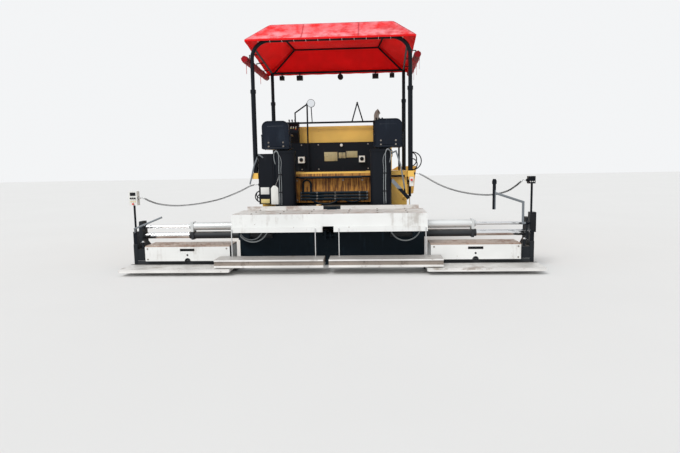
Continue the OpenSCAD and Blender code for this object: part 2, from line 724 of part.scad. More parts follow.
module seat() {
  color("#17181c") {
    rod_z(column_z + seat_gap, seat_z - 20, swivel[0], swivel[1], 120);
    box(seat_x - seat_hw, seat_x + seat_hw, -2000, -1520, seat_z - 30, seat_z);
    along_x(seat_x - seat_hw, seat_x + seat_hw) polygon([[-2000, seat_z - 30], [-1975, seat_z - 30],
      [-2010, seat_z + 440], [-2045, seat_z + 440]]);
    // arm rests
    for (x = [seat_x - seat_hw - 25, seat_x + seat_hw]) along_x(x, x + 25) polygon(
      strip([[-1985, seat_z - 20], [-1985, seat_z + 220], [-1680, seat_z + 220]], -30));
  }
}

function back_y(z) = -1975 - 35 * (z - seat_z + 30) / 470;

module seat_cushions() {
  low_z = seat_z + 91;
  high_z = seat_z + 430;
  color("#20222b") {
    box(seat_x - seat_hw + 12, seat_x + seat_hw - 12, -1960, -1505, seat_z + seat_gap, seat_z + 90);
    along_x(seat_x - seat_hw + 12, seat_x + seat_hw - 12) polygon([
      [back_y(low_z) + seat_gap, low_z], [back_y(low_z) + 80, low_z],
      [back_y(high_z) + 75, high_z], [back_y(high_z) + seat_gap, high_z]]);
  }
}

// Panel and pipes under the platform's rear edge
panel_y = [-1640, -1600];
panel_under_z = 960;
pipe_r = 24;
pipe_y = panel_y[0] - pipe_r - seat_gap;

module rear_panel() {
  hw = column_x[0] + 60;
  color("#a8742e") {
    difference() {
      box(-hw, hw, panel_y[0], panel_y[1], panel_under_z, platform_under_z);
      box(-440, -180, panel_y[0] - 1, panel_y[1] + 1, panel_under_z + 50, panel_under_z + 190);
    }
    // folded flanges at both ends and ribs above the pipes
    on_both() box(hw - 20, hw, panel_y[0] - 40, panel_y[0] + 1, panel_under_z, platform_under_z);
    for (x = [-330, 0, 330]) box(x, x + 12, panel_y[0] - 18, panel_y[0] + 1, 1180, platform_under_z);
  }
}

// Part of a ring of hose that hangs below a pipe's middle line
module sagging_hose(x, z, bend_r, half_turn, r) {
  translate([x, pipe_y, z + bend_r * cos(half_turn)]) rotate([90, 0, 0]) rotate([0, 0, -90 - half_turn])
    rotate_extrude(angle = 2 * half_turn, $fn = 48) translate([bend_r, 0]) circle(r = r, $fn = 20);
}

module hydraulic_pipes() {
  color("#1c1c1c") {
    for (z = [1020, 1075, 1130]) rod_x(-600, 600, pipe_y, z, pipe_r);
    // a bent pipe at the left, and hoses that sag between two fittings on a pipe
    for (x = [-550, -410]) rod_z(1131, 1290, x, pipe_y, 17);
    translate([-480, pipe_y, 1286]) rotate([90, 0, 0])
      rotate_extrude(angle = 180, $fn = 40) translate([70, 0]) circle(r = 15, $fn = 20);
    sagging_hose(-160, 1020, 420, 38, 13);
    sagging_hose(330, 1020, 300, 35, 11);
    // bar along the lower edge of the platform's rear fascia
    rod_x(-608, 493, platform_rear_y - 20 - seat_gap, platform_under_z + 15, 20);
  }
}

// Beam behind the chassis that carries the seat columns and the augers
beam_y = [-2000, -1760];
beam_under_z = 820;
auger_y = -1740;
auger_z = 430;
auger_shaft_r = 36;
auger_x = [110, 1215];
hanger_x = [1225, 1250];
gearbox_hw = 80;

module auger_beam() {
  color("#3d3b38") {
    box(-1240, 1240, beam_y[0], beam_y[1], beam_under_z, column_foot_z);
    on_both() {
      box(tail_hw, tail_hw + 80, beam_y[1] - 1, chassis_rear_y, beam_under_z - 60, column_foot_z);
      difference() {
        along_x(hanger_x[0], hanger_x[1]) polygon([[auger_y - 90, auger_z - 40],
          [auger_y + 60, auger_z - 40], [auger_y + 60, auger_z + 90], [beam_y[1], beam_under_z + 1],
          [beam_y[0] + 60, beam_under_z + 1]]);
        rod_x(hanger_x[0] - 1, hanger_x[1] + 1, auger_y, auger_z, auger_shaft_r + seat_gap);
      }
    }
    along_x(-gearbox_hw, gearbox_hw) polygon([[auger_y - 110, auger_z - 60],
      [auger_y - 50, auger_z - 110], [auger_y + 50, auger_z - 110], [auger_y + 110, auger_z - 60],
      [auger_y + 90, beam_under_z + 40], [auger_y - 110, beam_under_z + 40]]);
  }
}

module auger() {
  flight = 20;      // angle that the flight takes up in the cross-section
  color("#8a857e") {
    translate([auger_x[0], auger_y, auger_z]) rotate([0, 90, 0])
      linear_extrude(auger_x[1] - auger_x[0], twist = -360 * (auger_x[1] - auger_x[0]) / auger_pitch,
                     slices = round((auger_x[1] - auger_x[0]) / auger_pitch * 10)) union() {
        circle(r = auger_shaft_r + 2, $fn = 6);
        polygon([[0, -10], [auger_r * cos(flight / 2), -auger_r * sin(flight / 2)], [auger_r, 0],
                 [auger_r * cos(flight / 2), auger_r * sin(flight / 2)], [0, 10]]);
      }
    rod_x(gearbox_hw + seat_gap, auger_x[0] + 5, auger_y, auger_z, auger_shaft_r);
    rod_x(auger_x[1] - 5, hanger_x[1] + 20, auger_y, auger_z, auger_shaft_r);
  }
}

// Canopy: telescoping posts, hoops, purlins and the fabric roof
post_bore_r = post_r - 7;
collar_r = post_r + 8;
inner_post_r = post_bore_r - seat_gap;
inner_post_low_z = 2250;
hoop_r = 300;
front_bar_z = 3470;
bow_r = 20;
// The canopy comes down until the hoop's bend reaches the posts
canopy_drop = hoop_z - hoop_r - post_joint_z - 2 * move_gap;
front_joint_z = min(post_joint_z, front_bar_z - bow_r - canopy_drop - 2 * move_gap);
eave_z = hoop_z + bow_r + 2;
canopy_rear_y = rear_post_y - 130;
canopy_front_y = canopy_rear_y + canopy_l;
eave_hw = post_hw + 90;
front_eave_z = front_bar_z + bow_r + seat_gap;
// columns: y and half width of the rear ridge, then of the front one
ridge = [[canopy_rear_y + 430, 1060], [canopy_front_y - 290, 880]];
sheet_drop = 26;      // the fabric's thickness straight down
ridge_bar_r = bow_r - 3;
ridge_in = 40;        // from the fabric's ridge in to the bar's corner

// Height of the bars under the fabric's top, which slopes from the rear ridge to the front one
function under_top(y) = canopy_z - sheet_drop - seat_gap - ridge_bar_r - ball_rim
  - (canopy_z - front_ridge_z) * (y - ridge[0][0]) / (ridge[1][0] - ridge[0][0]);

module canopy_posts() {
  color("#2c2f31") on_both() for (foot = [[rear_post_y, platform_z, post_joint_z],
                                          [front_post_y, platform_under_z, front_joint_z]])
    difference() {
      union() {
        rod_z(foot[1], foot[2], post_hw, foot[0], post_r);
        rod_z(foot[2] - 60, foot[2], post_hw, foot[0], collar_r);
      }
      rod_z(foot[1] + 10, foot[2] + 1, post_hw, foot[0], post_bore_r);
    }
  // hoses that loop out of the right rear post
  color("#131313") for (loop = [[1690, 40, 110, 9], [1662, 4, 148, 9], [1606, -34, 93, 9]])
    hose_loop([post_hw + (post_r - 4) * cos(loop[1]), rear_post_y + (post_r - 4) * sin(loop[1]),
               loop[0]], loop[1], loop[2], loop[3]);
}

rail_turn = 34;       // where on the hoop's bend the side rail starts
awning_r = 62;
awning_x = post_hw + collar_r + 2 * move_gap + awning_r;
awning_z = hoop_z - hoop_r;
awning_hook_y = [-1600, -1000, -400];

// Ends of a side rail, and the point of it at a given y
hoop_bend = [post_hw - hoop_r, hoop_z - hoop_r];
rail_ends = [[hoop_bend[0] + hoop_r * cos(rail_turn), rear_post_y, hoop_bend[1] + hoop_r * sin(rail_turn)],
             [post_hw, front_post_y, front_bar_z]];

function rail_at(y) = rail_ends[0]
  + (rail_ends[1] - rail_ends[0]) * (y - rear_post_y) / (front_post_y - rear_post_y);

module canopy_frame() {
  bend = hoop_bend;
  color("#2a2d30") {
    // rear hoop
    on_both() {
      rod_z(inner_post_low_z, bend[1], post_hw, rear_post_y, inner_post_r);
      translate([bend[0], rear_post_y, bend[1]]) rotate([90, 0, 0])
        rotate_extrude(angle = 90, $fn = 64) translate([hoop_r, 0]) circle(r = inner_post_r, $fn = 32);
    }
    rod_x(-bend[0], bend[0], rear_post_y, hoop_z, inner_post_r);
    // front posts and their straight bar
    on_both() rod_z(inner_post_low_z, front_bar_z + 10, post_hw, front_post_y, inner_post_r);
    rod_x(-post_hw, post_hw, front_post_y, front_bar_z, bow_r);
    // side rails, and ridge bars on sloping legs
    on_both() bar(rail_ends[0], rail_ends[1], bow_r - 2);
    for (x = [-1, 1]) {
      rear_y = ridge[0][0] + ridge_in;
      front_y = ridge[1][0] - ridge_in;
      pipe([[x * (bend[0] - 60), rear_post_y, hoop_z], [x * (ridge[0][1] - 60), rear_y, under_top(rear_y)],
            [x * (ridge[1][1] - 60), front_y, under_top(front_y)],
            [x * (post_hw - 40), front_post_y, front_bar_z]], ridge_bar_r);
    }
    // purlins across
    for (end = [[ridge[0][0] + ridge_in, ridge[0][1] - 60], [ridge[1][0] - ridge_in, ridge[1][1] - 60]])
      rod_x(-end[1], end[1], end[0], under_top(end[0]), ridge_bar_r - 3);
    rod_x(-950, 950, -1000, under_top(-1000), ridge_bar_r - 3);
    // hooks that hold the rolled awnings, out from the side rails
    on_both() for (y = awning_hook_y) {
      rail = rail_at(y);
      pipe([rail, [awning_x, y, rail[2] - 12], [awning_x, y, awning_z + awning_r + seat_gap]], 8);
    }
  }
}

// A hipped roof's solid: a tilted base rectangle, and two ridges over it
module hip(inset, drop) {
  hw = eave_hw - inset;
  y0 = canopy_rear_y + inset;
  y1 = canopy_front_y - inset;
  rear_y = ridge[0][0] + inset * 0.4;
  front_y = ridge[1][0] - inset * 0.4;
  rear_hw = ridge[0][1] - inset * 0.6;
  front_hw = ridge[1][1] - inset * 0.6;
  polyhedron(
    points = [[-hw, y0, eave_z - drop], [hw, y0, eave_z - drop], [hw, y1, front_eave_z - drop],
              [-hw, y1, front_eave_z - drop],
              [-rear_hw, rear_y, canopy_z - drop], [rear_hw, rear_y, canopy_z - drop],
              [front_hw, front_y, front_ridge_z - drop], [-front_hw, front_y, front_ridge_z - drop]],
    faces = [[0, 1, 2, 3], [4, 7, 6, 5], [0, 4, 5, 1], [1, 5, 2], [5, 6, 2], [2, 6, 7, 3], [3, 7, 4],
             [3, 4, 0]]);
}

module canopy_sheet() {
  color("#c8282c") difference() {
    hip(0, 0);
    hip(0, sheet_drop);
  }
}

module rolled_awnings() {
  color("#c4262b") on_both()
    rod_y(canopy_rear_y + 60, front_post_y + 60, awning_x, awning_z, awning_r);
}

// columns: x, half width, height, kind 0 box or 1 drum
lamp_table = [[-1120, 45, 80, 0], [-760, 60, 90, 0], [60, 55, 90, 1], [760, 60, 90, 0],
              [1090, 45, 80, 0]];

module work_lamps() {
  color("#d9dadb") for (lamp = lamp_table) {
    top_z = front_bar_z - bow_r - seat_gap;
    box(lamp[0] - 12, lamp[0] + 12, front_post_y - 20, front_post_y + 20, top_z - 40, top_z);
    if (lamp[3] == 0)
      box(lamp[0] - lamp[1], lamp[0] + lamp[1], front_post_y - 60, front_post_y + 20,
          top_z - 39 - lamp[2], top_z - 39);
    else
      rod_y(front_post_y - 60, front_post_y + 20, lamp[0], top_z - 39 - lamp[2] / 2, lamp[1]);
  }
}

// Tow arms of the screed, past the outer side of the tracks
arm_h = 180;
arm_rear_y = -2150;
foot_y = [-2450, -2150];
lift_low = [-1230, 820];      // y and z of the lift cylinder's lower pin

module tow_arms() {
  color("#34383a") on_both() difference() {
    union() {
      along_x(arm_x[0], arm_x[1]) polygon([[tow_y + 40, tow_z - 60], [tow_y + 70, tow_z],
        [tow_y + 40, tow_z + 60], [tow_y - 60, tow_z + 80], [lift_low[0] + 80, 690],
        [foot_y[1] + 60, screed_h + 190], [foot_y[0], screed_h + 190], [foot_y[0], screed_h],
        [foot_y[1], screed_h], [lift_low[0], 510], [tow_y - 60, tow_z - 80]]);
      // cheeks for the lift cylinder's lower pin
      for (x = [arm_x[0] - 1, arm_x[1] - 11]) along_x(x, x + 12) polygon([
        [lift_low[0] - 80, 640], [lift_low[0] + 90, 640], [lift_low[0] + 25, lift_low[1] + 30],
        [lift_low[0] - 25, lift_low[1] + 30]]);
      rod_x(arm_x[0], arm_x[1], lift_low[0], lift_low[1], lift_pin_r - 4);
      // foot plate on the screed's body
      box(arm_x[0] - 40, arm_x[1] + 40, foot_y[0], foot_y[1], screed_h, screed_h + 30);
    }
    rod_x(arm_x[0] - 1, arm_x[1] + 1, tow_y, tow_z, tow_pin_r + seat_gap);
  }
}

// Lift cylinders from the cabinets to the tow arms, drawn along their own axis
lift_run = [lift_low[0] - lift_top[0], lift_low[1] - lift_top[1]];
lift_l = norm(lift_run);
lift_tilt = atan2(-lift_run[0], -lift_run[1]);      // turn about x from straight down
lift_x = (arm_x[0] + arm_x[1]) / 2;
barrel_l = 285;
barrel_r = 26;
lift_rod_r = 13;
lift_stroke = 153;

module at_lift() {
  translate([lift_x, lift_top[0], lift_top[1]]) rotate([-lift_tilt, 0, 0]) mirror([0, 0, 1])
    children();
}

module lift_barrel() {
  color("#d9a02c") at_lift() difference() {
    union() {
      rod_z(20, barrel_l, 0, 0, barrel_r);
      rod_x(-20, 20, 0, 0, 34);
    }
    rod_x(-21, 21, 0, 0, lift_pin_r + seat_gap);
    rod_z(60, barrel_l + 1, 0, 0, lift_rod_r + seat_gap);
  }
}

module lift_rod() {
  color("#c9cbcc") at_lift() difference() {
    union() {
      rod_z(65 + lift_stroke, lift_l - 20, 0, 0, lift_rod_r);
      rod_x(-16, 16, 0, lift_l, 30);
    }
    rod_x(-17, 17, 0, lift_l, lift_pin_r);
  }
}

// Screed: body, deck, walkway and guides
body_y = [-2520, -2120];
deck_y = [-3030, -2160];
lip_y = -3060;
deck_t = 20;
guide_y = -2600;
guide_z = 520;
fat_z = 665;
block_x = [1300, 1480];
crown_y = -2640;
crown_z = 505;

module screed_body() {
  color("#e8e4dc") {
    along_x(-screed_hw, screed_hw) polygon([[body_y[0], 0], [body_y[1] - 60, 0],
      [body_y[1], 60], [body_y[1], screed_h - 40], [body_y[1] - 40, screed_h],
      [body_y[0], screed_h]]);
    // blocks that the telescoping tubes slide in
    on_both() difference() {
      box(block_x[0], block_x[1], guide_y - 85, body_y[0] + 1, guide_z - 75, fat_z + 85);
      rod_x(block_x[0] - 1, block_x[1] + 1, guide_y, guide_z, sleeve_r + seat_gap);
      rod_x(block_x[0] - 1, block_x[1] + 1, guide_y, fat_z, fat_tube_r + seat_gap);
    }
    // crown adjuster: two lugs with a turnbuckle and its chain wheel
    on_both() box(70, 100, crown_y - 50, body_y[0] + 1, crown_z - 70, crown_z + 70);
    rod_x(-125, 125, crown_y, crown_z, 22);
    rod_x(-14, 14, crown_y, crown_z, 62);
  }
}

deck_gap_x = [-90, 80];
rib_x = [-1490, -900, -330, 310, 880, 1470];

module screed_deck() {
  color("#ecebe6") {
    for (x = [[-screed_hw, deck_gap_x[0]], [deck_gap_x[1], screed_hw]]) {
      box(x[0], x[1], deck_y[0], deck_y[1], deck_z - deck_t, deck_z);
      along_x(x[0], x[1]) polygon(strip([[deck_y[0], deck_z], [deck_y[0], deck_z - 195],
        [lip_y, deck_z - 195], [lip_y, deck_z - 274]], deck_t));
      // upstand along the deck's front edge
      box(x[0] + 60, x[1] - 60, deck_y[1] - deck_t, deck_y[1], deck_z - 1, deck_z + 60);
    }
  }
  color("#26282a") {
    box(deck_gap_x[0], deck_gap_x[1], deck_y[0] + 4, deck_y[1] - 4, deck_z - 190, deck_z - 6);
    // ribs between the body and the deck
    rib_y = body_y[0] + 1 + seat_gap;
    for (x = rib_x) along_x(x, x + 20) polygon([[rib_y, screed_h], [body_y[1] - 41, screed_h],
      [body_y[1] - 41, deck_z - deck_t + 1], [deck_y[0] + deck_t - 1, deck_z - deck_t + 1],
      [deck_y[0] + deck_t - 1, deck_z - 120], [rib_y, fat_z + 95]]);
    // hoses that hang below the deck
    cavity_hose(-1200, -2900, 245, 440);
    cavity_hose(-1235, -2870, 190, 470);
    cavity_hose(1175, -2900, 240, 445);
  }
}

// A hose that hangs from the deck's underside in a round bend
module cavity_hose(x, y, bend_r, low_z) {
  for (side = [-1, 1]) rod_z(low_z + bend_r - 4, deck_z - deck_t + 1, x + side * bend_r, y, 12);
  translate([x, y, low_z + bend_r]) rotate([90, 0, 0]) rotate([0, 0, 180])
    rotate_extrude(angle = 180, $fn = 48) translate([bend_r, 0]) circle(r = 10, $fn = 20);
}

walk_y = [-3360, -3010];
walk_z = [117, 235];
walk_hw = 1700;
hanger_r = 9;
hanger_y = lip_y - hanger_r - seat_gap;
hanger_list = [-1490, -200, 160, 1470];

module central_walkway() {
  color("#9b9a96") for (x = [[-walk_hw, -60], [20, walk_hw]]) {
    along_x(x[0], x[1]) polygon([[walk_y[0], walk_z[0]], [walk_y[1], walk_z[0]],
      [walk_y[1], walk_z[1]], [walk_y[0], walk_z[1]], [walk_y[0], walk_z[1] - 22],
      [walk_y[0] + 25, walk_z[1] - 22], [walk_y[0] + 25, walk_z[0] + 45], [walk_y[0], walk_z[0] + 45]]);
  }
  color("#c8c9ca") for (x = hanger_list)
    rod_z(walk_z[1] - 5, deck_z - 215, x, hanger_y, hanger_r);
}

// Extensions: what moves at half the stroke, and what moves at the whole stroke
stroke = 1420;
ext_in_x = screed_hw - 40;
ext_out_x = screed_hw + extension_w - 40;
stage_x = [950, 2300];
barrel_bore_r = 45;

module guide_stage() {
  color("#dcdcd8") {
    difference() {
      union() {
        rod_x(stage_x[0], stage_x[1], guide_y, guide_z, sleeve_r);
        rod_x(stage_x[0], stage_x[1] - 40, guide_y, fat_z, fat_tube_r);
        translate([stage_x[1] - 40, guide_y, fat_z]) rotate([0, 90, 0])
          cylinder(h = 40, r1 = fat_tube_r, r2 = fat_tube_r - 25, $fn = 48);
        box(stage_x[1] - 80, stage_x[1] - 41, guide_y - 72, guide_y + 72, guide_z - 66, fat_z + 72);
      }
      rod_x(stage_x[0] - 1, stage_x[1] + 1, guide_y, guide_z, guide_r + seat_gap);
      rod_x(stage_x[0] + 20, stage_x[1] - 60, guide_y, fat_z, barrel_bore_r);
      rod_x(stage_x[0] + 20, stage_x[1] + 1, guide_y, fat_z, ext_rod_r + seat_gap);
    }
  }
}

ext_box_x = [1550, 2900];
ext_box_y = [-2990, -2545];
ext_box_z = 160;
sole_y = [-2930, -2560];
end_x = [3050, 3110];
end_rear_y = -2925;
end_top_z = 420;

module extension() {
  color("#ecebe6") difference() {
    along_x(ext_box_x[0], ext_box_x[1]) polygon([[ext_box_y[0], ext_box_z],
      [ext_box_y[1], ext_box_z], [ext_box_y[1], ext_box_z + ext_box_h],
      [ext_box_y[0], ext_box_z + ext_box_h]]);
    // hand slot, small hole and half-round cut-out in the rear face
    cut_x = (ext_box_x[0] + ext_box_x[1]) / 2;
    box(cut_x - 115, cut_x + 115, ext_box_y[0] - 1, ext_box_y[0] + 60,
        ext_box_z + ext_box_h - 70, ext_box_z + ext_box_h - 30);
    rod_y(ext_box_y[0] - 1, ext_box_y[0] + 60, cut_x, ext_box_z + 95, 16);
    rod_y(ext_box_y[0] - 1, ext_box_y[0] + 60, cut_x, ext_box_z, 48);
  }
  color("#8a5a3c") box(ext_box_x[0], ext_box_x[1], ext_box_y[0] + 20, ext_box_y[1],
                       ext_box_z + ext_box_h - 1, ext_box_z + ext_box_h + 16);
  color("#4a4744") {
    box(ext_in_x, end_x[0], sole_y[0], sole_y[1], 0, ext_box_z + 1);
    box(ext_in_x, end_x[1] + 40, walk_y[0] - 40, sole_y[0] + 1, 60, 105);
  }
}

bracket_z = 760;

module extension_gear() {
  color("#3b3c3d") {
    // end plate, and the bracket that holds the tubes
    along_x(end_x[0], end_x[1]) polygon([[end_rear_y, 20], [-2300, 20], [-2250, 90],
      [-2250, 260], [-2480, end_top_z], [-2520, bracket_z], [-2680, bracket_z],
      [-2720, end_top_z], [end_rear_y, end_top_z]]);
    box(ext_box_x[1], end_x[0] + 1, sole_y[0] + 10, sole_y[1] - 10, ext_box_z + 2, ext_box_z + 180);
    // spindle that sets the extension's height
    rod_z(ext_box_z + 179, 470, (ext_box_x[1] + end_x[0]) / 2, sole_y[0] + 60, 18);
    rod_z(440, 456, (ext_box_x[1] + end_x[0]) / 2, sole_y[0] + 60, 34);
  }
  color("#d5d6d6") {
    rod_x(stage_x[1] - 300, end_x[0] + 1, guide_y, guide_z, guide_r);
    rod_x(stage_x[1] - 300, end_x[0] + 1, guide_y, fat_z, ext_rod_r);
  }
}

// Control stands on the end plates of the extensions
stand_y = -2870;
stand_foot_z = end_top_z + seat_gap;
stick_r = 16;
gland_r = 20;
gland_l = 25;
remote_x = [3010, 3130];
right_cord_z = 1340;
left_cord_z = 1150;
yoke_y = -3085;

module control_stand_right() {
  color("#2a2b2d") {
    box(end_x[0], end_x[1], stand_y - 40, stand_y + 40, stand_foot_z, 620);
    bar([3070, stand_y, 600], [3070, stand_y, 1300], stick_r);
    box(end_x[0] - 10, end_x[1] + 20, stand_y - 60, stand_y + 60, 560, 860);
    box(remote_x[0], remote_x[1] - 20, stand_y - 50, stand_y + 50, 1290, 1400);
    rod_x(remote_x[0] - gland_l, remote_x[0] + 1, stand_y, right_cord_z, gland_r);
    pipe([[2515, stand_y, 1159], [2950, stand_y, 1010], [2950, stand_y, 690], [3060, stand_y, 690]], 18);
    // sensor's post at the inner end of the tube
    rod_z(905, 1365, 2515, stand_y, 25);
    rod_z(1290, 1345, 2515, stand_y, 34);
  }
}

module control_stand_left() {
  color("#2a2b2d") {
    box(-end_x[1], -end_x[0], stand_y - 40, stand_y + 40, stand_foot_z, 620);
    bar([-3080, stand_y, 600], [-3080, stand_y, 1050], stick_r);
    rod_x(-remote_x[0] - 1, -remote_x[0] + gland_l, stand_y, left_cord_z, gland_r);
    // yoke bar that passes behind the deck
    pipe([[-3080, stand_y - 30, 600], [-3000, yoke_y, 690], [-2561, yoke_y, 863]], 14);
  }
  color("#e9e8e3") box(-remote_x[1] - 10, -remote_x[0], stand_y - 50, stand_y + 50, 1040, 1260);
}

// Curly cords from the tractor to the control stands, as fat tubes along their hanging line
cord_r = 14;
cord_left = [[-1296, -1900, 1300], [-1318, -1900, 1300], [-1345, -1900, 1300], [-1440, -1938, 1274],
             [-1600, -2030, 1190], [-1850, -2160, 1090], [-2100, -2280, 1030], [-2350, -2420, 1000],
             [-2560, -2550, 1000], [-2740, -2684, 1036], [-2850, -2790, 1092], [-2915, -2855, 1140],
             [-2948, -2870, 1150], [-2966, -2870, 1150], [-2984, -2870, 1150]];
cord_right = [[1401, -1980, 1450], [1423, -1980, 1450], [1448, -1980, 1450], [1540, -2016, 1408],
              [1700, -2080, 1310], [1880, -2160, 1220], [2100, -2280, 1150], [2350, -2420, 1110],
              [2560, -2550, 1110], [2750, -2690, 1170], [2860, -2795, 1260], [2915, -2855, 1323],
              [2948, -2870, 1340], [2966, -2870, 1340], [2984, -2870, 1340]];

function cord_heading(p, i) = unit(p[min(i + 1, len(p) - 1)] - p[max(i - 1, 0)]);
function cord_ring(p, i, r, sides) =
  let (along = cord_heading(p, i), flat = unit(cross([0, 0, 1], along)), up = cross(along, flat))
  [for (k = [0 : sides - 1]) p[i] + r * (cos(k * 360 / sides) * flat + sin(k * 360 / sides) * up)];

// Points between the route's own, on a smooth curve through them
function smooth(p, steps) = concat([for (i = [0 : len(p) - 2], j = [0 : steps - 1])
  let (t = j / steps, a = p[max(i - 1, 0)], b = p[i], c = p[i + 1], d = p[min(i + 2, len(p) - 1)])
  b + t * (c - a) / 2 + t * t * (a - 2.5 * b + 2 * c - d / 2) + t * t * t * (b * 1.5 - a / 2 - c * 1.5 + d / 2)],
  [p[len(p) - 1]]);

module cord(route) {
  sides = 8;
  line = smooth(route, 5);
  rings = len(line);
  polyhedron(
    points = [for (i = [0 : rings - 1], point = cord_ring(line, i, cord_r, sides)) point],
    faces = concat([[for (k = [0 : sides - 1]) k]],
      [for (i = [0 : rings - 2], k = [0 : sides - 1])
        [i * sides + k, (i + 1) * sides + k, (i + 1) * sides + (k + 1) % sides, i * sides + (k + 1) % sides]],
      [[for (k = [sides - 1 : -1 : 0]) (rings - 1) * sides + k]]));
}

module curly_cord(route) {
  color("#151515") cord(route);
}

main_frame();
on_left() track_loop();  // track_left
track_loop();  // track_right
on_left() track_frame();  // track_frame_left
track_frame();  // track_frame_right
engine_block();
engine_hood();
on_left() engine_door();  // engine_door_left
engine_door();  // engine_door_right
exhaust();
on_left() side_cabinet();  // side_cabinet_left
side_cabinet();  // side_cabinet_right
hopper_bed();
slat_conveyor();
on_left() hopper_wing();  // hopper_wing_left
hopper_wing();  // hopper_wing_right
on_left() wing_barrel();  // wing_barrel_left
wing_barrel();  // wing_barrel_right
on_left() wing_rod();  // wing_rod_left
wing_rod();  // wing_rod_right
push_beam();
on_left() push_roller();  // push_roller_left
push_roller();  // push_roller_right
tow_brackets();
platform();
dash_console();
handrails();
seat_columns();
on_left() seat();  // seat_left
seat();  // seat_right
on_left() seat_cushions();  // seat_cushions_left
seat_cushions();  // seat_cushions_right
rear_panel();
hydraulic_pipes();
auger_beam();
on_left() auger();  // auger_left
auger();  // auger_right
canopy_posts();
canopy_frame();
canopy_sheet();
rolled_awnings();
work_lamps();
tow_arms();
on_left() lift_barrel();  // lift_barrel_left
lift_barrel();  // lift_barrel_right
on_left() lift_rod();  // lift_rod_left
lift_rod();  // lift_rod_right
screed_body();
screed_deck();
central_walkway();
on_left() guide_stage();  // guide_stage_left
guide_stage();  // guide_stage_right
on_left() extension();  // extension_left
extension();  // extension_right
on_left() extension_gear();  // extension_gear_left
extension_gear();  // extension_gear_right
control_stand_left();
control_stand_right();
curly_cord(cord_left);  // curly_cord_left
curly_cord(cord_right);  // curly_cord_right
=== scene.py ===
"""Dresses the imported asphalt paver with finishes, fabric, cushions, cords and small fittings.

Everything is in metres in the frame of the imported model: +Y runs forwards to the hopper, +X to the
machine's right and +Z up, with the ground at zero.
"""

from __future__ import annotations

import logging
import math
import random
from dataclasses import dataclass, replace
from enum import Enum
from functools import partialmethod
from typing import Callable, Iterable, Sequence

import bpy
from mathutils import Matrix, Vector


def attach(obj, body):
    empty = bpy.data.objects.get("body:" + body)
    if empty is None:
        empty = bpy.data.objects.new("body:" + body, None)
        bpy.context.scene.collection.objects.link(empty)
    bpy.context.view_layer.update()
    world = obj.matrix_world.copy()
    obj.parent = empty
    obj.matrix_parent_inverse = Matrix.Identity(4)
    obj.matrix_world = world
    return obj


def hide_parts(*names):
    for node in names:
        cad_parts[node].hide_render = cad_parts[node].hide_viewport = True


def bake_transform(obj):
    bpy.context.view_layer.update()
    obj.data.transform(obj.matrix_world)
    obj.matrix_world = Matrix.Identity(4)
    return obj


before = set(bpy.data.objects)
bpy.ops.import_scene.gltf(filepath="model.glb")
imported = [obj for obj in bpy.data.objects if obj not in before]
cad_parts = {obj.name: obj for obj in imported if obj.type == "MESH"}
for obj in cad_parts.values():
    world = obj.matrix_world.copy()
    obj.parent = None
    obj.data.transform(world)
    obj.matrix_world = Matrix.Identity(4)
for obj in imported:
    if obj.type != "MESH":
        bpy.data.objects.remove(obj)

log = logging.getLogger("paver")

Point = tuple[float, float, float]
Colour = tuple[float, float, float]
Piece = bpy.types.Object
Material = bpy.types.Material
Node = bpy.types.Node
Socket = bpy.types.NodeSocket

SIDES: dict[str, int] = {"left": -1, "right": 1}
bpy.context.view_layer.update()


# Finishes


class Pattern(Enum):
    """The relief that a finish carries besides its fine grain."""

    PLAIN = "plain"
    CHEQUER = "chequer"
    RIBS = "ribs"
    WEAVE = "weave"
    LEATHER = "leather"
    CAST = "cast"


@dataclass(frozen=True)
class Finish:
    """One surface finish.

    Attributes:
        name: Plain words for the finish.
        colour: Its own colour, linear.
        roughness: Roughness where it is clean.
        metallic: 1 for bare metal.
        grime: Colour of the dirt on it.
        grime_share: Share of the surface that dirt takes, from 0 to 1.
        grime_size: Patches of dirt per metre.
        streaks: How far the dirt runs downwards, from 0 to 1.
        dust_and_highlight: How much pale dust lies on what faces up; on the red fabrics it is a painted
            highlight of sun glare and sheen, with some real sun fading.
        chips: Share of the surface that is chipped or scratched.
        chip_colour: Colour under the paint.
        fade: How much the colour varies from place to place.
        pattern: Relief on the surface.
        pattern_size: Size of one step of that relief, in metres.
        pattern_depth: Its depth, in metres.
        grain: Depth of the fine grain, in metres.
        coat: Weight of a clear coat.
        sheen: Weight of a cloth sheen.
        gloss: The shader's specular level.
        glow: How much light passes through a thin sheet of it, as subsurface weight.
        dust_and_highlight_colour: Colour of the dust on the faces that look up; on the red fabrics, the
            colour of a painted highlight there.
        slot: Name of a material slot for a new piece in this finish; not used.
    """

    name: str
    colour: Colour
    roughness: float = 0.5
    metallic: float = 0.0
    grime: Colour = (0.045, 0.038, 0.032)
    grime_share: float = 0.25
    grime_size: float = 2.5
    streaks: float = 0.5
    dust_and_highlight: float = 0.25
    chips: float = 0.0
    chip_colour: Colour = (0.10, 0.07, 0.05)
    fade: float = 0.12
    pattern: Pattern = Pattern.PLAIN
    pattern_size: float = 0.05
    pattern_depth: float = 0.002
    grain: float = 0.0004
    coat: float = 0.0
    sheen: float = 0.0
    gloss: float = 0.5
    glow: float = 0.0
    dust_and_highlight_colour: Colour = (0.34, 0.30, 0.26)
    slot: str = ""


@dataclass(frozen=True)
class Zone:
    """A box of the frame in which a CAD node takes another finish.

    Attributes:
        low: Lowest corner.
        high: Highest corner.
        finish: The finish inside the box.
    """

    low: Point
    high: Point
    finish: Finish


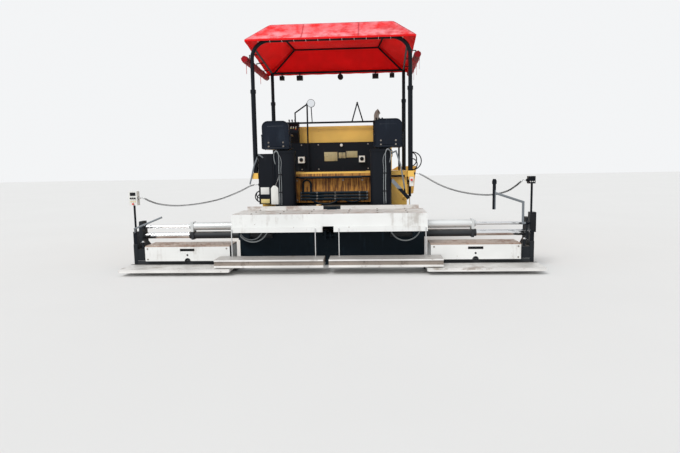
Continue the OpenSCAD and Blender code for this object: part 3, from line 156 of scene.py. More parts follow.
YELLOW = Finish("machine yellow", (0.88, 0.53, 0.10), 0.42, grime_share=0.30, chips=0.08, coat=0.15,
                chip_colour=(0.16, 0.07, 0.03), grime=(0.20, 0.095, 0.03))
OCHRE = replace(YELLOW, name="stained ochre", colour=(0.54, 0.24, 0.035), grime_share=0.74,
                streaks=0.72, grime_size=6.0, grime=(0.11, 0.038, 0.012), chips=0.5, coat=0.0,
                roughness=0.6)
HOPPER_YELLOW = replace(YELLOW, name="hopper yellow", grime_share=0.42, dust_and_highlight=1.0,
                        dust_and_highlight_colour=(0.060, 0.050, 0.042), chips=0.3)
WHITE = Finish("heat-proof white", (0.80, 0.81, 0.80), 0.45, grime_share=0.50, chips=0.20, streaks=0.35,
               grime=(0.46, 0.43, 0.40), chip_colour=(0.24, 0.17, 0.12), dust_and_highlight=0.1, fade=0.05)
DECK_WHITE = replace(WHITE, name="trodden white", colour=(0.70, 0.69, 0.67), grime_share=0.5,
                     grime=(0.36, 0.27, 0.23), grime_size=3.0, dust_and_highlight=0.45, streaks=0.0)
SILVER = Finish("silver paint", (0.66, 0.68, 0.68), 0.34, metallic=0.45, grime_share=0.30, streaks=0.3,
                grime=(0.20, 0.17, 0.14), chips=0.06, dust_and_highlight=0.2)
BLACK = Finish("black paint", (0.005, 0.007, 0.011), 0.42, grime=(0.026, 0.030, 0.036),
               grime_share=0.35, dust_and_highlight=0.12, chips=0.10, chip_colour=(0.07, 0.07, 0.075), gloss=0.14,
               slot="black_paint")
DARK_STEEL = Finish("dark chassis steel", (0.013, 0.016, 0.020), 0.60, grime=(0.060, 0.050, 0.042),
                    grime_share=0.36, dust_and_highlight=0.40, chips=0.10, chip_colour=(0.10, 0.07, 0.05), gloss=0.2)
BLUE_BLACK = replace(DARK_STEEL, name="screed steel", colour=(0.004, 0.012, 0.020), grime_share=0.45,
                     grime=(0.018, 0.036, 0.052), gloss=0.18, dust_and_highlight=0.25)
WORN_STEEL = Finish("worn steel", (0.32, 0.29, 0.26), 0.42, metallic=0.7, grime=(0.06, 0.04, 0.03),
                    grime_share=0.5, dust_and_highlight=0.25, grain=0.0008, slot="worn_steel")
TRACK_STEEL = Finish("track shoes", (0.050, 0.048, 0.046), 0.66, metallic=0.2,
                     grime=(0.15, 0.12, 0.095), grime_share=0.5, dust_and_highlight=0.5, pattern=Pattern.CAST,
                     pattern_size=0.02)
CHROME = Finish("chromed rod", (0.78, 0.79, 0.80), 0.13, metallic=1.0, grime_share=0.06, dust_and_highlight=0.0,
                fade=0.03, grain=0.0)
TREAD = Finish("tread plate", (0.52, 0.50, 0.48), 0.46, metallic=0.3, grime=(0.20, 0.16, 0.13),
               grime_share=0.5, dust_and_highlight=0.3, pattern=Pattern.CHEQUER, pattern_size=0.034,
               pattern_depth=0.0025)
RUST_TREAD = replace(TREAD, name="rusty tread", colour=(0.46, 0.36, 0.30), metallic=0.1,
                     grime=(0.20, 0.085, 0.045), grime_share=0.6, pattern=Pattern.RIBS,
                     pattern_size=0.075, pattern_depth=0.005)
YELLOW_TREAD = replace(YELLOW, name="yellow tread", pattern=Pattern.CHEQUER, pattern_size=0.05,
                       pattern_depth=0.003, grime_share=0.5, chips=0.35)
CAST_IRON = Finish("engine iron", (0.10, 0.105, 0.11), 0.6, metallic=0.4, pattern=Pattern.CAST,
                   pattern_size=0.012, grime_share=0.4)
# The pale pink on faces that look up is a painted highlight of sun glare and sheen, partly real sun
# fading.
RED_FABRIC = Finish("red canopy fabric", (0.80, 0.008, 0.010), 0.70, grime=(0.42, 0.008, 0.010),
                    grime_share=0.3, dust_and_highlight=1.0, dust_and_highlight_colour=(0.92, 0.36, 0.40), fade=0.18,
                    pattern=Pattern.WEAVE, pattern_size=0.006, pattern_depth=0.0005, grain=0.0015,
                    sheen=0.06, streaks=0.2, gloss=0.12, glow=0.55, slot="canopy_fabric")
# The lighter red on faces that look up is a painted highlight, partly real sun fading.
DARK_RED = replace(RED_FABRIC, name="dark red fabric", colour=(0.26, 0.004, 0.009), fade=0.3,
                   grime=(0.085, 0.004, 0.006), grime_share=0.5, dust_and_highlight=0.25,
                   dust_and_highlight_colour=(0.44, 0.03, 0.04), glow=0.0)
# The pink on the seams' upper faces is a painted highlight of sun glare, partly real fading.
SEAM_RED = replace(RED_FABRIC, name="seam red", colour=(0.52, 0.010, 0.014), dust_and_highlight=0.8,
                   dust_and_highlight_colour=(0.74, 0.16, 0.19), glow=0.0)
WEBBING = replace(RED_FABRIC, name="red webbing", colour=(0.66, 0.010, 0.014), pattern_size=0.003,
                  dust_and_highlight=0.0, glow=0.0)
SEAT_VINYL = Finish("navy seat vinyl", (0.007, 0.012, 0.026), 0.46, grime=(0.030, 0.034, 0.045),
                    grime_share=0.18, dust_and_highlight=0.12, pattern=Pattern.LEATHER, pattern_size=0.004,
                    pattern_depth=0.0004, streaks=0.1, gloss=0.3, slot="seat_vinyl")
PIPING = replace(SEAT_VINYL, name="seat piping", colour=(0.020, 0.024, 0.034), roughness=0.36)
SEAT_SHELL = Finish("navy seat shell", (0.003, 0.007, 0.016), 0.36, grime=(0.014, 0.022, 0.036),
                    grime_share=0.45, dust_and_highlight=0.10, chips=0.12, chip_colour=(0.06, 0.07, 0.09),
                    pattern=Pattern.LEATHER, pattern_size=0.003, pattern_depth=0.0002, gloss=0.22,
                    slot="black_plastic")
PLASTIC = Finish("black plastic", (0.006, 0.007, 0.009), 0.50, grime=(0.030, 0.030, 0.030),
                 grime_share=0.25, dust_and_highlight=0.15, pattern=Pattern.LEATHER, pattern_size=0.003,
                 pattern_depth=0.0003, gloss=0.2, slot="black_plastic")
RUBBER = Finish("cord rubber", (0.005, 0.005, 0.006), 0.55, grime_share=0.15,
                grime=(0.020, 0.020, 0.020), dust_and_highlight=0.0, gloss=0.15, slot="cord_rubber")
HOSE_GREY = replace(RUBBER, name="pale hose", colour=(0.26, 0.28, 0.29), roughness=0.45, gloss=0.5,
                    slot="black_plastic")
PALE_PLASTIC = Finish("pale housing", (0.74, 0.74, 0.71), 0.4, grime_share=0.22,
                      grime=(0.28, 0.26, 0.22), dust_and_highlight=0.15, slot="white_paint")
LENS = Finish("lamp lens", (0.62, 0.66, 0.70), 0.08, grime_share=0.05, dust_and_highlight=0.0, grain=0.0, coat=0.6,
              slot="white_paint")
MIRROR = Finish("mirror glass", (0.82, 0.84, 0.86), 0.03, metallic=1.0, grime_share=0.04, dust_and_highlight=0.0,
                grain=0.0, fade=0.0, slot="bright_rod")
LABEL = Finish("blank yellow label", (0.72, 0.58, 0.24), 0.4, grime_share=0.35,
               grime=(0.30, 0.24, 0.14), dust_and_highlight=0.05, slot="yellow_paint")
TAN_LABEL = replace(LABEL, name="blank tan label", colour=(0.40, 0.34, 0.18), grime_share=0.62,
                    grime=(0.16, 0.13, 0.08), grime_size=9.0, chips=0.4, chip_colour=(0.05, 0.05, 0.05))
RED_KNOB = Finish("red knob", (0.66, 0.03, 0.02), 0.3, grime_share=0.1, coat=0.4, slot="black_plastic")
GREY_ARM = replace(SILVER, name="grey arm", colour=(0.20, 0.22, 0.24), metallic=0.2, grime_share=0.35,
                   grime=(0.07, 0.065, 0.06))
BRIGHT_EDGE = replace(WORN_STEEL, name="bright toothed edge", colour=(0.80, 0.79, 0.77), metallic=0.15,
                      grime_share=0.34, grime=(0.24, 0.20, 0.17), streaks=0.0, grime_size=7.0)
ALUMINIUM = Finish("walkway aluminium", (0.74, 0.73, 0.71), 0.42, metallic=0.2,
                   grime=(0.30, 0.25, 0.21), grime_share=0.42, dust_and_highlight=0.3, pattern=Pattern.RIBS,
                   pattern_size=0.03, pattern_depth=0.002, streaks=0.0, grime_size=4.0)
WALKWAY = Finish("walkway channel", (0.34, 0.29, 0.25), 0.55, metallic=0.1, grime=(0.13, 0.10, 0.08),
                 grime_share=0.55, dust_and_highlight=0.4, grime_size=6.0, streaks=0.2)


class Painter:
    """Builds one procedural material out of finishes laid over each other.

    Attributes:
        fade_size: Patches per metre of the slow change in colour.
        grain_size: Patches per metre of the fine grain.
        chip_size: Patches per metre of the chips.
        dust_and_highlight_size: Patches per metre of the dust, and of the painted highlight on the red
            fabrics.
        run_stretch: Scale of the dirt that runs down, along each axis.
        dirt_step: Width of the soft edge of the dirt.
        chip_step: Width of the soft edge of a chip.
        facing_up: From which upward normal the dust and the painted highlight begin, and where they are
            full.
        dirt_roughness: How much rougher dirt is than the clean surface.
        rib_slant: How far ribs lean from the machine's length.
    """

    fade_size = 1.1
    grain_size = 220.0
    chip_size = 26.0
    dust_and_highlight_size = 6.0
    run_stretch = (2.6, 2.6, 0.22)
    dirt_step = 0.16
    chip_step = 0.04
    facing_up = (0.55, 0.95)
    dirt_roughness = 0.25
    rib_slant = 0.35

    def __init__(self, name: str) -> None:
        """Starts an empty material.

        Args:
            name: The material's name.
        """
        self.material = bpy.data.materials.new(name)
        self.material.use_nodes = True
        self.tree = self.material.node_tree
        self.tree.nodes.clear()
        self.place = self.node("ShaderNodeTexCoord").outputs["Object"]
        normal = self.node("ShaderNodeNewGeometry").outputs["Normal"]
        self.up = self.node("ShaderNodeSeparateXYZ", Vector=normal).outputs["Z"]
        split = self.node("ShaderNodeSeparateXYZ", Vector=self.place)
        self.axis = {letter: split.outputs[letter.upper()] for letter in "xyz"}

    def node(self, kind: str, **inputs: object) -> Node:
        """Adds a node.

        Args:
            kind: Its type.
            **inputs: A value or an output socket for each named input.

        Returns:
            The new node.
        """
        made = self.tree.nodes.new(kind)
        for name, value in inputs.items():
            self.feed(made.inputs[name.replace("_", " ")], value)
        return made

    def feed(self, socket: Socket, value: object) -> None:
        """Links or sets an input socket.

        Args:
            socket: The input.
            value: A value, or an output socket.
        """
        if isinstance(value, Socket):
            self.tree.links.new(value, socket)
        else:
            socket.default_value = value

    def math(self, operation: str, *values: object, clamp: bool = False) -> Socket:
        """Does arithmetic on values or sockets.

        Args:
            operation: The Math node's operation.
            *values: One to three operands.
            clamp: Whether the result stays from 0 to 1.

        Returns:
            The result's socket.
        """
        made = self.tree.nodes.new("ShaderNodeMath")
        made.operation = operation
        made.use_clamp = clamp
        for socket, value in zip(made.inputs, values):
            self.feed(socket, value)
        return made.outputs[0]

    times = partialmethod(math, "MULTIPLY")
    plus = partialmethod(math, "ADD")
    minus = partialmethod(math, "SUBTRACT")

    def ramp(self, value: object, low: float, high: float, to_low: float = 0.0,
             to_high: float = 1.0) -> Socket:
        """Maps a range smoothly to another one.

        Args:
            value: The value or socket.
            low: The range's start.
            high: The range's end.
            to_low: What the start becomes.
            to_high: What the end becomes.

        Returns:
            The result's socket.
        """
        made = self.tree.nodes.new("ShaderNodeMapRange")
        made.interpolation_type = "SMOOTHSTEP"
        for name, number in (("From Min", low), ("From Max", high),
                             ("To Min", to_low), ("To Max", to_high)):
            made.inputs[name].default_value = number
        self.feed(made.inputs["Value"], value)
        return made.outputs["Result"]

    def noise(self, size: float, detail: float = 4.0, stretch: Point = (1, 1, 1),
              shift: float = 0.0) -> Socket:
        """Makes noise on the object's own coordinates.

        Args:
            size: Patches per metre.
            detail: Octaves.
            stretch: Scale along each axis.
            shift: Offset that makes one noise differ from another.

        Returns:
            The noise's socket, from 0 to 1 around 0.5.
        """
        mapping = self.node("ShaderNodeMapping", Vector=self.place, Scale=stretch,
                            Location=(shift, shift * 0.7, shift * 1.3))
        return self.node("ShaderNodeTexNoise", Vector=mapping.outputs[0], Scale=size, Detail=detail,
                         Roughness=0.6).outputs[0]

    def mix(self, kind: str, share: object, first: object, second: object) -> Node:
        """Mixes two values by a share.

        Args:
            kind: RGBA or FLOAT.
            share: The second one's share.
            first: The first value or socket.
            second: The second one.

        Returns:
            The mixing node.
        """
        made = self.tree.nodes.new("ShaderNodeMix")
        made.data_type = kind
        self.feed(made.inputs[0], share)
        base = 6 if kind == "RGBA" else 2
        for index, value in enumerate((first, second), base):
            self.feed(made.inputs[index], (*value, 1.0) if isinstance(value, tuple) else value)
        return made

    def blend(self, share: object, first: object, second: object) -> Socket:
        """Mixes two colours by a share and returns the result's socket."""
        return self.mix("RGBA", share, first, second).outputs[2]

    def merge(self, share: object, first: object, second: object) -> Socket:
        """Mixes two numbers by a share and returns the result's socket."""
        return self.mix("FLOAT", share, first, second).outputs[0]

    def scaled(self, colour: Colour, shade: Socket) -> Socket:
        """Multiplies a colour by a shade.

        Args:
            colour: The colour.
            shade: The shade's socket.

        Returns:
            The result's socket.
        """
        made = self.node("ShaderNodeVectorMath", Vector=colour)
        made.operation = "SCALE"
        self.feed(made.inputs["Scale"], shade)
        return made.outputs["Vector"]

    def relief(self, finish: Finish) -> Socket:
        """Builds a finish's relief.

        Args:
            finish: The finish.

        Returns:
            The socket of its height, in metres.
        """
        fine = self.times(self.noise(self.grain_size, 2.0), finish.grain)
        if finish.pattern is Pattern.PLAIN:
            return fine
        steps = 1.0 / finish.pattern_size
        if finish.pattern is Pattern.CHEQUER:
            raised = self.chequer(steps)
        elif finish.pattern is Pattern.RIBS:
            slant = self.plus(self.axis["x"], self.times(self.axis["y"], self.rib_slant))
            wave = self.wave(slant, steps)
            raised = self.ramp(wave, 0.1, 0.7)
        elif finish.pattern is Pattern.WEAVE:
            threads = self.times(self.wave(self.axis["x"], steps), self.wave(self.axis["y"], steps))
            raised = self.plus(threads, 1.0)
        else:
            cells = self.node("ShaderNodeTexVoronoi", Vector=self.place, Scale=steps)
            raised = cells.outputs["Distance"]
        return self.plus(self.times(raised, finish.pattern_depth), fine)

    def wave(self, along: Socket, steps: float) -> Socket:
        """A sine along a line with so many waves per metre."""
        return self.math("SINE", self.times(along, steps * math.tau))

    def chequer(self, steps: float) -> Socket:
        """Raised lozenges that lie crosswise by turns, on horizontal plates.

        Args:
            steps: Cells per metre.

        Returns:
            Their height from 0 to 1.
        """
        u = self.times(self.plus(self.axis["x"], self.axis["y"]), steps * 0.7)
        v = self.times(self.minus(self.axis["x"], self.axis["y"]), steps * 0.7)
        turn = self.math("FLOORED_MODULO",
                         self.plus(self.math("FLOOR", u), self.math("FLOOR", v)), 2.0)
        off_u, off_v = (self.math("ABSOLUTE", self.minus(self.math("FRACT", way), 0.5))
                        for way in (u, v))
        long_way = self.merge(turn, off_u, off_v)
        short_way = self.merge(turn, off_v, off_u)
        edge = self.plus(self.times(long_way, 2.3), self.times(short_way, 7.0))
        return self.ramp(edge, 1.0, 0.7)

    def layer(self, finish: Finish) -> dict[str, object]:
        """Works out one finish's colour, roughness, metal and relief.

        Args:
            finish: The finish.

        Returns:
            A value or socket for each of colour, roughness, metallic and height.
        """
        shade = self.ramp(self.noise(self.fade_size, 3.0, shift=3.0), 0.3, 0.7,
                          1.0 - finish.fade, 1.0 + finish.fade)
        colour = self.scaled(finish.colour, shade)
        patch = self.noise(finish.grime_size, 7.0, shift=11.0)
        run = self.noise(finish.grime_size * 2.2, 6.0, stretch=self.run_stretch, shift=5.0)
        mixed = self.merge(finish.streaks, patch, run)
        edge = 0.70 - 0.36 * finish.grime_share
        dirt = self.ramp(mixed, edge, edge + self.dirt_step, 0.0, min(0.35 + finish.grime_share, 0.95))
        colour = self.blend(dirt, colour, finish.grime)
        if finish.chips:
            rim = 0.72 - 0.14 * finish.chips
            flakes = self.ramp(self.noise(self.chip_size, 8.0, shift=21.0), rim, rim + self.chip_step)
            colour = self.blend(flakes, colour, finish.chip_colour)
        # Dust on faces that look up; on the red fabrics this layer is a painted highlight of sun glare
        # and sheen, partly real fading.
        if finish.dust_and_highlight:
            cloud = self.noise(self.dust_and_highlight_size, 5.0, shift=31.0)
            patchy = self.ramp(cloud, 0.30, 0.70, 0.0, finish.dust_and_highlight)
            dust_and_highlight_mask = self.times(self.ramp(self.up, *self.facing_up), patchy)
            colour = self.blend(dust_and_highlight_mask, colour, finish.dust_and_highlight_colour)
        roughness = self.math("ADD", self.times(dirt, self.dirt_roughness), finish.roughness,
                              clamp=True)
        return {"colour": colour, "roughness": roughness, "metallic": finish.metallic,
                "height": self.relief(finish)}

    def inside(self, zone: Zone) -> Socket:
        """Tells a zone's inside from its outside.

        Args:
            zone: The zone.

        Returns:
            A socket that is 1 inside its box and 0 outside it.
        """
        nearest: list[Socket] = []
        for letter, low, high in zip("xyz", zone.low, zone.high):
            nearest.append(self.minus(self.axis[letter], low))
            nearest.append(self.minus(high, self.axis[letter]))
        least = nearest[0]
        for other in nearest[1:]:
            least = self.math("MINIMUM", least, other)
        return self.math("GREATER_THAN", least, 0.0)

    def finished(self, base: Finish, zones: Sequence[Zone] = ()) -> Material:
        """Lays the base finish and the zones' ones over it, and links the shader.

        Args:
            base: The finish outside every zone.
            zones: Boxes with finishes of their own, the later over the earlier.

        Returns:
            The material.
        """
        coat = self.layer(base)
        for zone in zones:
            over = self.layer(zone.finish)
            share = self.inside(zone)
            coat["colour"] = self.blend(share, coat["colour"], over["colour"])
            for part in ("roughness", "metallic", "height"):
                coat[part] = self.merge(share, coat[part], over[part])
        bump = self.node("ShaderNodeBump", Height=coat["height"], Strength=0.8, Distance=1.0)
        shader = self.node("ShaderNodeBsdfPrincipled", Base_Color=coat["colour"],
                           Roughness=coat["roughness"], Metallic=coat["metallic"],
                           Normal=bump.outputs[0])
        shader.inputs["Coat Weight"].default_value = base.coat
        shader.inputs["Sheen Weight"].default_value = base.sheen
        shader.inputs["Specular IOR Level"].default_value = base.gloss
        if base.glow:
            shader.inputs["Subsurface Weight"].default_value = base.glow
            shader.inputs["Subsurface Radius"].default_value = (1.0, 0.12, 0.12)
            shader.inputs["Subsurface Scale"].default_value = 0.012
        return self.shown(shader)

    def shown(self, shader: Node) -> Material:
        """Links a shader to the surface and returns the material."""
        self.node("ShaderNodeOutputMaterial", Surface=shader.outputs[0])
        return self.material


MATERIALS: dict[str, Material] = {}


def material_of(finish: Finish) -> Material:
    """Makes the material of a finish once.

    Args:
        finish: The finish.

    Returns:
        Its material.
    """
    if finish.name not in MATERIALS:
        MATERIALS[finish.name] = Painter(finish.name.replace(" ", "_")).finished(finish)
    return MATERIALS[finish.name]


def dress(piece: Piece, material: Material) -> None:
    """Gives a piece one material in place of what it has."""
    piece.data.materials.clear()
    piece.data.materials.append(material)


def dress_node(node: str, base: Finish, zones: Sequence[Zone] = ()) -> None:
    """Dresses a CAD node in its main finish, with others inside the zones."""
    plain = material_of(base) if not zones else Painter(node).finished(base, zones)
    dress(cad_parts[node], plain)


# Modelling by hand


SMOOTH_ANGLE = math.radians(35)
UP = Vector((0.0, 0.0, 1.0))
SLANT = Vector((0.0, -0.7071, 0.7071))


def clear_selection() -> None:
    """Leaves edit mode and deselects everything."""
    if bpy.context.object and bpy.context.object.mode != "OBJECT":
        bpy.ops.object.mode_set(mode="OBJECT")
    bpy.ops.object.select_all(action="DESELECT")


def select_only(piece: Piece) -> None:
    """Makes a piece the active one and the only selected one.

    Args:
        piece: The piece.
    """
    clear_selection()
    piece.select_set(True)
    bpy.context.view_layer.objects.active = piece


def settle(piece: Piece, name: str) -> Piece:
    """Names a piece and puts its place into its mesh.

    Args:
        piece: The object, which becomes the only selected one.
        name: Its name.

    Returns:
        The piece.
    """
    select_only(piece)
    bpy.ops.object.transform_apply(location=True, rotation=True, scale=True)
    piece.name = name
    piece.data.name = name
    return piece


def modify(piece: Piece, kind: str, **settings: object) -> None:
    """Adds a modifier with its settings and applies it.

    Args:
        piece: The piece.
        kind: The modifier's type.
        **settings: Its properties.
    """
    select_only(piece)
    modifier = piece.modifiers.new(kind.lower(), kind)
    for name, value in settings.items():
        setattr(modifier, name, value)
    bpy.ops.object.modifier_apply(modifier=modifier.name)


def rounded(piece: Piece, width: float, segments: int = 2, angle: float = 40.0) -> None:
    """Rounds a piece's edges with a bevel that is applied.

    Args:
        piece: The piece.
        width: Width of the bevel.
        segments: Steps across it.
        angle: How sharp an edge has to be, in degrees.
    """
    modify(piece, "BEVEL", width=width, segments=segments, limit_method="ANGLE",
           angle_limit=math.radians(angle))
    bpy.ops.object.shade_smooth_by_angle(angle=SMOOTH_ANGLE)


def thickened(piece: Piece, thickness: float, offset: float, angle: float) -> None:
    """Gives a sheet its thickness on one side, and shades it smooth up to an angle in degrees."""
    modify(piece, "SOLIDIFY", thickness=thickness, offset=offset)
    bpy.ops.object.shade_smooth_by_angle(angle=math.radians(angle))


def pick_edges(piece: Piece, chosen: Callable[[Vector, Vector], bool]) -> None:
    """Enters edit mode with only some edges selected.

    Args:
        piece: The piece.
        chosen: Says of an edge's ends whether it is selected.
    """
    select_only(piece)
    bpy.ops.object.mode_set(mode="EDIT")
    bpy.ops.mesh.select_mode(type="EDGE")
    bpy.ops.mesh.select_all(action="DESELECT")
    bpy.ops.object.mode_set(mode="OBJECT")
    for edge in piece.data.edges:
        edge.select = chosen(*(piece.data.vertices[k].co for k in edge.vertices))
    bpy.ops.object.mode_set(mode="EDIT")


def pick_faces(piece: Piece, facing: Vector) -> None:
    """Enters edit mode with only those faces selected that look one way.

    Args:
        piece: The piece.
        facing: The way that they look.
    """
    select_only(piece)
    for face in piece.data.polygons:
        face.select = face.normal.dot(facing) > 0.9
    bpy.ops.object.mode_set(mode="EDIT")
    bpy.ops.mesh.select_mode(type="FACE")


def bevel_edges(piece: Piece, chosen: Callable[[Vector, Vector], bool], width: float,
                segments: int) -> None:
    """Bevels the edges whose two ends pass a test.

    Args:
        piece: The piece.
        chosen: Says of an edge's ends whether it is bevelled.
        width: The bevel's width.
        segments: Its steps; one makes a cut corner.
    """
    pick_edges(piece, chosen)
    bpy.ops.mesh.bevel(offset=width, segments=segments)
    bpy.ops.object.mode_set(mode="OBJECT")


def slab_block(name: str, low: Sequence[float], high: Sequence[float]) -> Piece:
    """Makes a box with sharp edges, as the start of a shaped piece.

    Args:
        name: Its name.
        low: Lowest corner.
        high: Highest corner.

    Returns:
        The box.
    """
    clear_selection()
    bpy.ops.mesh.primitive_cube_add(size=1, location=[(a + b) / 2 for a, b in zip(low, high)],
                                    scale=[b - a for a, b in zip(low, high)])
    return settle(bpy.context.object, name)


def block(name: str, low: Sequence[float], high: Sequence[float], edge: float = 0.004) -> Piece:
    """Makes a box with rounded edges.

    Args:
        name: The piece's name.
        low: Lowest corner.
        high: Highest corner.
        edge: Radius of its edges.

    Returns:
        The piece.
    """
    piece = slab_block(name, low, high)
    rounded(piece, min(edge, min(b - a for a, b in zip(low, high)) * 0.3))
    return piece


def rod(name: str, start: Sequence[float], end: Sequence[float], radius: float, sides: int = 24,
        edge: float = 0.0, tip: float | None = None) -> Piece:
    """Makes a round bar, or a cone where the tip differs.

    Args:
        name: The piece's name.
        start: Middle of one end.
        end: Middle of the other end.
        radius: Its radius.
        sides: Faces round it.
        edge: Radius of its end edges.
        tip: Radius at the end, if it differs.

    Returns:
        The piece.
    """
    clear_selection()
    run = Vector(end) - Vector(start)
    bpy.ops.mesh.primitive_cone_add(vertices=sides, radius1=radius, depth=run.length,
                                    radius2=radius if tip is None else tip,
                                    location=(Vector(start) + Vector(end)) / 2,
                                    rotation=run.to_track_quat("Z", "Y").to_euler())
    piece = settle(bpy.context.object, name)
    if edge:
        rounded(piece, edge)
    else:
        bpy.ops.object.shade_smooth_by_angle(angle=SMOOTH_ANGLE)
    return piece


def post(name: str, foot: Vector, out: Vector, low: float, high: float, radius: float, sides: int,
         edge: float = 0.0, tip: float | None = None) -> Piece:
    """Makes a round bar that stands on a surface at its foot, from a low to a high distance."""
    return rod(name, foot + out * low, foot + out * high, radius, sides, edge, tip)


def joined(name: str, pieces: Sequence[Piece]) -> Piece:
    """Joins pieces into the first one.

    Args:
        name: The new name of the first one.
        pieces: The pieces, of which the others are used up.

    Returns:
        The joined piece.
    """
    clear_selection()
    for piece in pieces:
        piece.select_set(True)
    bpy.context.view_layer.objects.active = pieces[0]
    if len(pieces) > 1:
        bpy.ops.object.join()
    pieces[0].name = name
    pieces[0].data.name = name
    return pieces[0]


def copies(name: str, piece: Piece, places: Iterable[Sequence[float]]) -> Piece:
    """Copies a piece that was modelled at the origin to each place and joins the copies.

    Args:
        name: Name of the result.
        piece: The pattern, which is used up.
        places: Where each copy goes.

    Returns:
        The joined piece.
    """
    made: list[Piece] = []
    for place in places:
        clear_selection()
        twin = piece.copy()
        twin.data = piece.data.copy()
        bpy.context.collection.objects.link(twin)
        twin.location = place
        made.append(settle(twin, name))
    bpy.data.objects.remove(piece)
    return joined(name, made)


def bent_tube(name: str, points: Sequence[Sequence[float]], radius: float, smooth: bool = True,
              sides: int = 3, cyclic: bool = False) -> Piece:
    """Makes a bent tube as a mesh with closed ends.

    Args:
        name: The piece's name.
        points: The points that it passes through.
        radius: Its radius.
        smooth: Whether it curves through the points or keeps its corners.
        sides: Resolution of the round section.
        cyclic: Whether it closes on itself.

    Returns:
        The piece.
    """
    line = bpy.data.curves.new(name, "CURVE")
    line.dimensions = "3D"
    line.bevel_depth = radius
    line.bevel_resolution = sides
    line.use_fill_caps = not cyclic
    line.resolution_u = 8
    spline = line.splines.new("BEZIER" if smooth else "POLY")
    knots = spline.bezier_points if smooth else spline.points
    knots.add(len(points) - 1)
    for knot, place in zip(knots, points):
        knot.co = place if smooth else (*place, 1.0)
        if smooth:
            knot.handle_left_type = knot.handle_right_type = "AUTO"
    spline.use_cyclic_u = cyclic
    piece = bpy.data.objects.new(name, line)
    bpy.context.collection.objects.link(piece)
    select_only(piece)
    bpy.ops.object.convert(target="MESH")
    bpy.ops.object.shade_smooth()
    return settle(bpy.context.object, name)


class Facing(Enum):
    """The way a bolt head or a lens faces."""

    REAR = (0.0, -1.0, 0.0)
    FRONT = (0.0, 1.0, 0.0)
    RIGHT = (1.0, 0.0, 0.0)
    LEFT = (-1.0, 0.0, 0.0)
    UP = (0.0, 0.0, 1.0)

    @classmethod
    def outward(cls, sign: int) -> Facing:
        """The way out from the machine on a side."""
        return cls.RIGHT if sign > 0 else cls.LEFT


def hand_over(piece: Piece, body: str, finish: Finish) -> Piece:
    """Dresses a new piece and puts it on its body.

    Args:
        piece: The piece.
        body: The body that it rides on.
        finish: Its finish.

    Returns:
        The piece.
    """
    dress(piece, material_of(finish))
    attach(piece, body)
    log.info("piece %s on %s", piece.name, body)
    return piece


def fit(name: str, parts: Sequence[Piece], body: str, finish: Finish) -> Piece:
    """Joins parts into one piece and hands it over."""
    return hand_over(joined(name, parts), body, finish)


def bolts(name: str, places: Sequence[Sequence[float]], facing: Facing, radius: float,
          body: str) -> None:
    """Adds hexagon bolt heads of worn steel on their washers.

    Args:
        name: The piece's name.
        places: Points on the surface under each head.
        facing: The way the heads face.
        radius: Radius of a head.
        body: The body that they ride on.
    """
    out = Vector(facing.value)
    foot = Vector()
    washer = post("washer", foot, out, -0.001, radius * 0.25, radius * 1.5, 16)
    head = post("head", foot, out, radius * 0.25, radius, radius, 6, edge=radius * 0.12)
    hand_over(copies(name, joined("bolt", [washer, head]), places), body, WORN_STEEL)


def disc(name: str, place: Sequence[float], facing: Facing, radius: float, depth: float,
         hollow: float = 0.0, edge: float = 0.001) -> Piece:
    """Makes a round fitting that stands on a surface, with a recess in its face.

    Args:
        name: The piece's name.
        place: The point on the surface.
        facing: The way it faces.
        radius: Its radius.
        depth: How far it stands out.
        hollow: Depth of the recess in its face.
        edge: Radius of its edges.

    Returns:
        The piece.
    """
    out = Vector(facing.value)
    piece = post(name, Vector(place), out, -0.0005, depth, radius, 28)
    if hollow:
        pick_faces(piece, out)
        bpy.ops.mesh.inset(thickness=radius * 0.22)
        bpy.ops.mesh.extrude_region_move(TRANSFORM_OT_translate={"value": tuple(-out * hollow)})
        bpy.ops.object.mode_set(mode="OBJECT")
    rounded(piece, edge)
    return piece


def groove(off: float, depth: float, width: float) -> float:
    """Depth of a soft groove at a distance from its middle."""
    return depth * math.exp(-(off / width) ** 2)


# Camera, floor and light


@dataclass
class PhotoCamera:
    """The camera behind the machine, a little to its right, at standing height."""

    place: Point = (0.67, -11.09, 1.62)
    turn: float = 3.5
    tilt: float = 83.4
    roll: float = -1.0
    lens: float = 28.3

    def build(self) -> None:
        """Makes the camera the scene's own."""
        data = bpy.data.cameras.new("camera")
        data.lens = self.lens
        data.sensor_width = 36.0
        data.clip_end = 300.0
        camera = bpy.data.objects.new("camera", data)
        bpy.context.collection.objects.link(camera)
        camera.matrix_world = (Matrix.Translation(self.place)
                               @ Matrix.Rotation(math.radians(self.turn), 4, "Z")
                               @ Matrix.Rotation(math.radians(self.tilt), 4, "X")
                               @ Matrix.Rotation(math.radians(self.roll), 4, "Z"))
        bpy.context.scene.camera = camera


